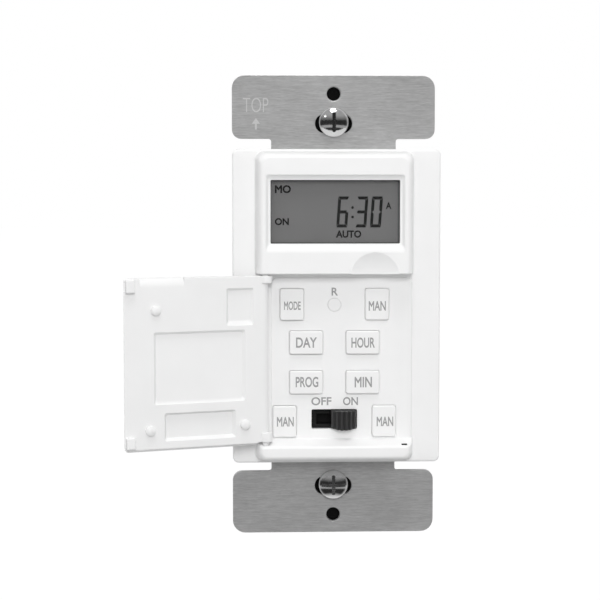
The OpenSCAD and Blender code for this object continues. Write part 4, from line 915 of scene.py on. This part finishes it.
# by key: text, centre x, centre z, width, height
legendSizes = dict(
    key_mode=("MODE", -9.6, 0.35, 3.79, 1.95), key_manual_top=("MAN", 9.75, 0.25, 3.9, 2.2),
    key_day=("DAY", -6.4, -8.05, 4.75, 2.35), key_hour=("HOUR", 6.52, -8.12, 5.35, 2.35),
    key_program=("PROG", -6.27, -17.08, 5.15, 2.4), key_minute=("MIN", 6.58, -17.15, 3.95, 2.4),
    key_manual_left=("MAN", -11.2, -26.18, 3.85, 2.2), key_manual_right=("MAN", 11.6, -26.25, 3.8, 2.2),
)
panelLegends = dict(words=(("R", 0.08, 3.5, 1.45, 1.8), ("OFF", -2.95, -21.58, 4.6, 1.88),
                           ("ON", 3.71, -21.6, 3.43, 1.88)), ink=(0.012, 0.02))  # rise, weight
stampSizes = dict(words=(("TOP", -17.78, 45.85, 5.8, 3.3),), weight=-0.012, arrowAt=(-17.73, 41.6),
                  arrow=(0.95, 1.3, 0.22), corner=0.03, rise=0.04)


# the stamped word and a flat arrow above the steel
def makeStamp(sizes):
    shell = addWords(Shell(), sizes["words"], strapFront, sizes["rise"], sizes["weight"])
    wide, tall, stem = sizes["arrow"]
    right = np.array([(stem, -tall), (stem, 0), (wide, 0)])
    corners = sizes["arrowAt"] + np.concatenate([right, [(0, tall)], right[::-1] * (-1, 1)])
    shell.plate(polygon(corners, sizes["corner"]), strapFront, strapFront - sizes["rise"])
    return shell.mesh()


coverMesh = makeCover(coverSizes)
piece("frontCover", coverMesh, "white_plastic", "coverWhite", "front_cover")
# the catch shade sheet is painted shade inside the catch slot
piece("catchShade", makeCatchShade(shadeSizes), "black_plastic", "slotBlack")
print("cover:", len(coverMesh.polygons), "faces")

hingeJoint = next(joint for joint in frame["joints"] if joint["name"] == "door_hinge")
doorMesh = makeDoor(doorSizes, hingeJoint["pos_m"], hingeJoint["range_deg"][1])
piece("timerDoor", doorMesh, "white_plastic", "doorWhite", "door", body="door")
print("door:", len(doorMesh.polygons), "faces")

for node in legendSizes:
    name = node.replace("key_", "").replace("_", " ").title().replace(" ", "")
    piece("key" + name, makeKey(node), "white_plastic", "keyWhite", node, body=node)
    word = addWords(Shell(), [legendSizes[node]], boxOf(node)[0][1], *panelLegends["ink"])
    piece("legend" + name, word.mesh(), "display_grey", "legendInk", body=node)
piece("resetButton", makeReset(resetSizes), "white_plastic", "keyWhite", "reset_button", body="reset_button")
piece("slideKnob", makeKnob(knobSizes), "black_plastic", "knobBlack", "slide_knob", body="slide_knob")
panelWords = addWords(Shell(), panelLegends["words"], panelFront, *panelLegends["ink"])
piece("panelLegends", panelWords.mesh(), "display_grey", "legendInk")
# painted shade along the display's edges
piece("displayRim", makeDisplayRimShade(rimShadeSizes), "display_grey", "rimGrey")
piece("readout", makeReadout(displaySizes).mesh(), "display_grey", "segmentInk")
print("keys, knob and lettering made")

piece("strap", makeStrap(strapSizes), "strap_steel", "strapSteel", "mounting_strap", sharp=15)
piece("strapStamp", makeStamp(stampSizes), "strap_steel", "stampSteel")
# the strips also paint the shade seen through the wall holes
piece("fibreStrips", makeStripsAndHoleShade(stripSizes), "fibre", "stripFibre", "screw_retainers")
piece("boxScrews", makeBoxScrews(boxScrewSizes), "bright_screw", "screwChrome", "mounting_screws")
print("strap and screws made")

# CAD nodes that keep their shape, by finish, with the width of their edges' bevel
keptNodes = dict(
    windowClear=dict(display_window=0),
    displayGrey=dict(display_glass=0),
    holderPale=dict(display_holder=0.12, insulation_sheet=0),
    stripElastomer=dict(contact_strips=0.1),
    partBlack=dict(tact_switch_bodies=0.12, timer_chip=0.12, link_header=0.06, link_socket=0.06,
                   filter_capacitors=0.3, rectifier=0.2),
    slotBlack=dict(slide_switch_body=0.15),
    platedBrass=dict(slide_contact=0.05, link_pins=0.04, terminal_plates=0.1, terminal_screws=0.12),
    boardGreen=dict(control_board=0.06, power_board=0.06),
    screwZinc=dict(board_screws=0.08, clock_crystal=0.2, backup_cell=0.15, cell_clip=0.05,
                   fuse=0.1, housing_screws=0.1, terminal_clamps=0.12),
    capacitorBlue=dict(relay=0.3, varistor=0.3),
    capacitorRed=dict(film_capacitor=0.4),
    housingBlack=dict(rear_housing=0.35),
    groundGreen=dict(ground_screw=0.14),
)
keptNodes["partBlack"].update({node: 0.1 for node in frame["nodes"] if node.startswith("plunger_")})
bevelSizes = dict(flat=1.0, sharp=40.0, segments=2)  # angles in degrees


def dress(obj, look, width, sizes):
    obj.data.materials.clear()
    obj.data.materials.append(looks[look])
    if width:
        obj.modifiers.new("weld", "WELD").merge_threshold = meshSizes["double"] * mm
        flat = obj.modifiers.new("flat", "DECIMATE")
        flat.decimate_type, flat.angle_limit = "DISSOLVE", math.radians(sizes["flat"])
        bevel = obj.modifiers.new("bevel", "BEVEL")
        bevel.width, bevel.segments, bevel.limit_method = width * mm, sizes["segments"], "ANGLE"
        bevel.angle_limit, bevel.use_clamp_overlap = math.radians(sizes["sharp"]), True
        weightNormals(obj)


for look, group in keptNodes.items():
    for node, width in group.items():
        dress(frame["nodes"][node], look, width, bevelSizes)
print("kept nodes dressed:", sum(map(len, keptNodes.values())))

# a lamp is its place, size, power and whether gloss shows it; the room's parts are limits of direction
lightSizes = dict(
    lamps=dict(softbox=((0.02, -0.9, 0.38), 0.4, 4.4, False),
               topPanel=((0, -0.32, 0.83), 0.35, 2.6, True),
               sidePanel=((-0.6, -0.5, 0.5), 0.12, 0.12, True),
               fillPanel=((0, -0.9, -0.02), 0.3, 0.55, False)),
    ambient=0.16, aside=0.9, white=1.0, dark=0.03, high=0.4, low=0.7, strip=0.42,
    behind=(-0.25, 0.1), above=(0.12, 0.6), below=(-0.78, -0.95), stripEnds=((-0.2, -0.26), (-0.48, -0.42)),
    floor=-0.075, floorReach=4.0, floorTone=0.55, floorRough=0.9, floorShare=0.08, floorGlow=1.07,
)


# white to the camera, a plain level for the light it gives;
# gloss sees white behind and above, and a dark room in front
def setWorld(sizes):
    world = bpy.data.worlds.new("studio")
    scene.world = world
    world.use_nodes = True
    ground = world.node_tree.nodes["Background"]
    wire = Wire(world.node_tree)
    toward = wire.make("ShaderNodeTexCoord", out="Generated")
    across, ahead, height = [wire.make("ShaderNodeSeparateXYZ", {0: toward}, out=axis) for axis in "XYZ"]
    behind, above = wire.clip(ahead, *sizes["behind"]), wire.clip(height, *sizes["above"])
    below = wire.clip(height, *sizes["below"])
    stripTop, stripLow = [wire.clip(height, *ends) for ends in sizes["stripEnds"]]
    dark = sizes["dark"]
    room = dark + (sizes["high"] - dark) * above + (sizes["low"] - dark) * below
    room = room + (sizes["strip"] - dark) * (stripTop * stripLow)
    room = room + behind * (sizes["white"] - room)
    plain = sizes["ambient"] + sizes["aside"] * (across * across)
    level = plain + wire.ray("Glossy") * (room - plain)
    bright = wire.sum("MINIMUM", wire.ray("Camera") + wire.ray("Transmission"), 1.0)
    ground.inputs["Color"].default_value = (1, 1, 1, 1)
    wire.put(ground.inputs["Strength"], level + bright * (sizes["white"] - level))


def addLamp(name, place, size, power, inGloss):
    lamp = bpy.data.lights.new(name, "AREA")
    lamp.shape, lamp.size, lamp.energy = "DISK", size, power
    obj = placed(name, lamp)
    obj.location = place
    obj.rotation_euler = (-Vector(place)).to_track_quat("-Z", "Y").to_euler()
    obj.visible_glossy = inGloss


# a pale floor that glows white to the camera, so only a faint shadow shows on it
def addFloor(sizes):
    made = bpy.data.meshes.new("floor")
    reach = sizes["floorReach"]
    corners = [(x, y, sizes["floor"]) for x, y in sides(-reach, reach, -reach, reach)]
    made.from_pydata(corners, [], [(0, 1, 2, 3)])
    obj = placed("floor", made)
    tone, rough = colour(sizes["floorTone"]), sizes["floorRough"]
    paint = finish(lambda wire: {"Base Color": tone, "Roughness": rough})
    paint.name = "paleFloor"
    tree = paint.node_tree
    wire = Wire(tree)
    glow = wire.make("ShaderNodeEmission", {"Color": (1, 1, 1, 1), "Strength": sizes["floorGlow"]})
    seen = wire.sum("MINIMUM", wire.ray("Camera") + wire.ray("Glossy") + wire.ray("Transmission"), 1.0)
    matt = Wire(tree, tree.nodes["Principled BSDF"].outputs[0])
    both = wire.make("ShaderNodeMixShader", {0: seen * (1 - sizes["floorShare"]), 1: matt, 2: glow})
    wire.put(tree.nodes["Material Output"].inputs["Surface"], both)
    made.materials.append(paint)
    obj.visible_glossy = False


setWorld(lightSizes)
for name, settings in lightSizes["lamps"].items():
    addLamp(name, *settings)
addFloor(lightSizes)
scene.view_settings.view_transform = "Standard"
print("studio set")
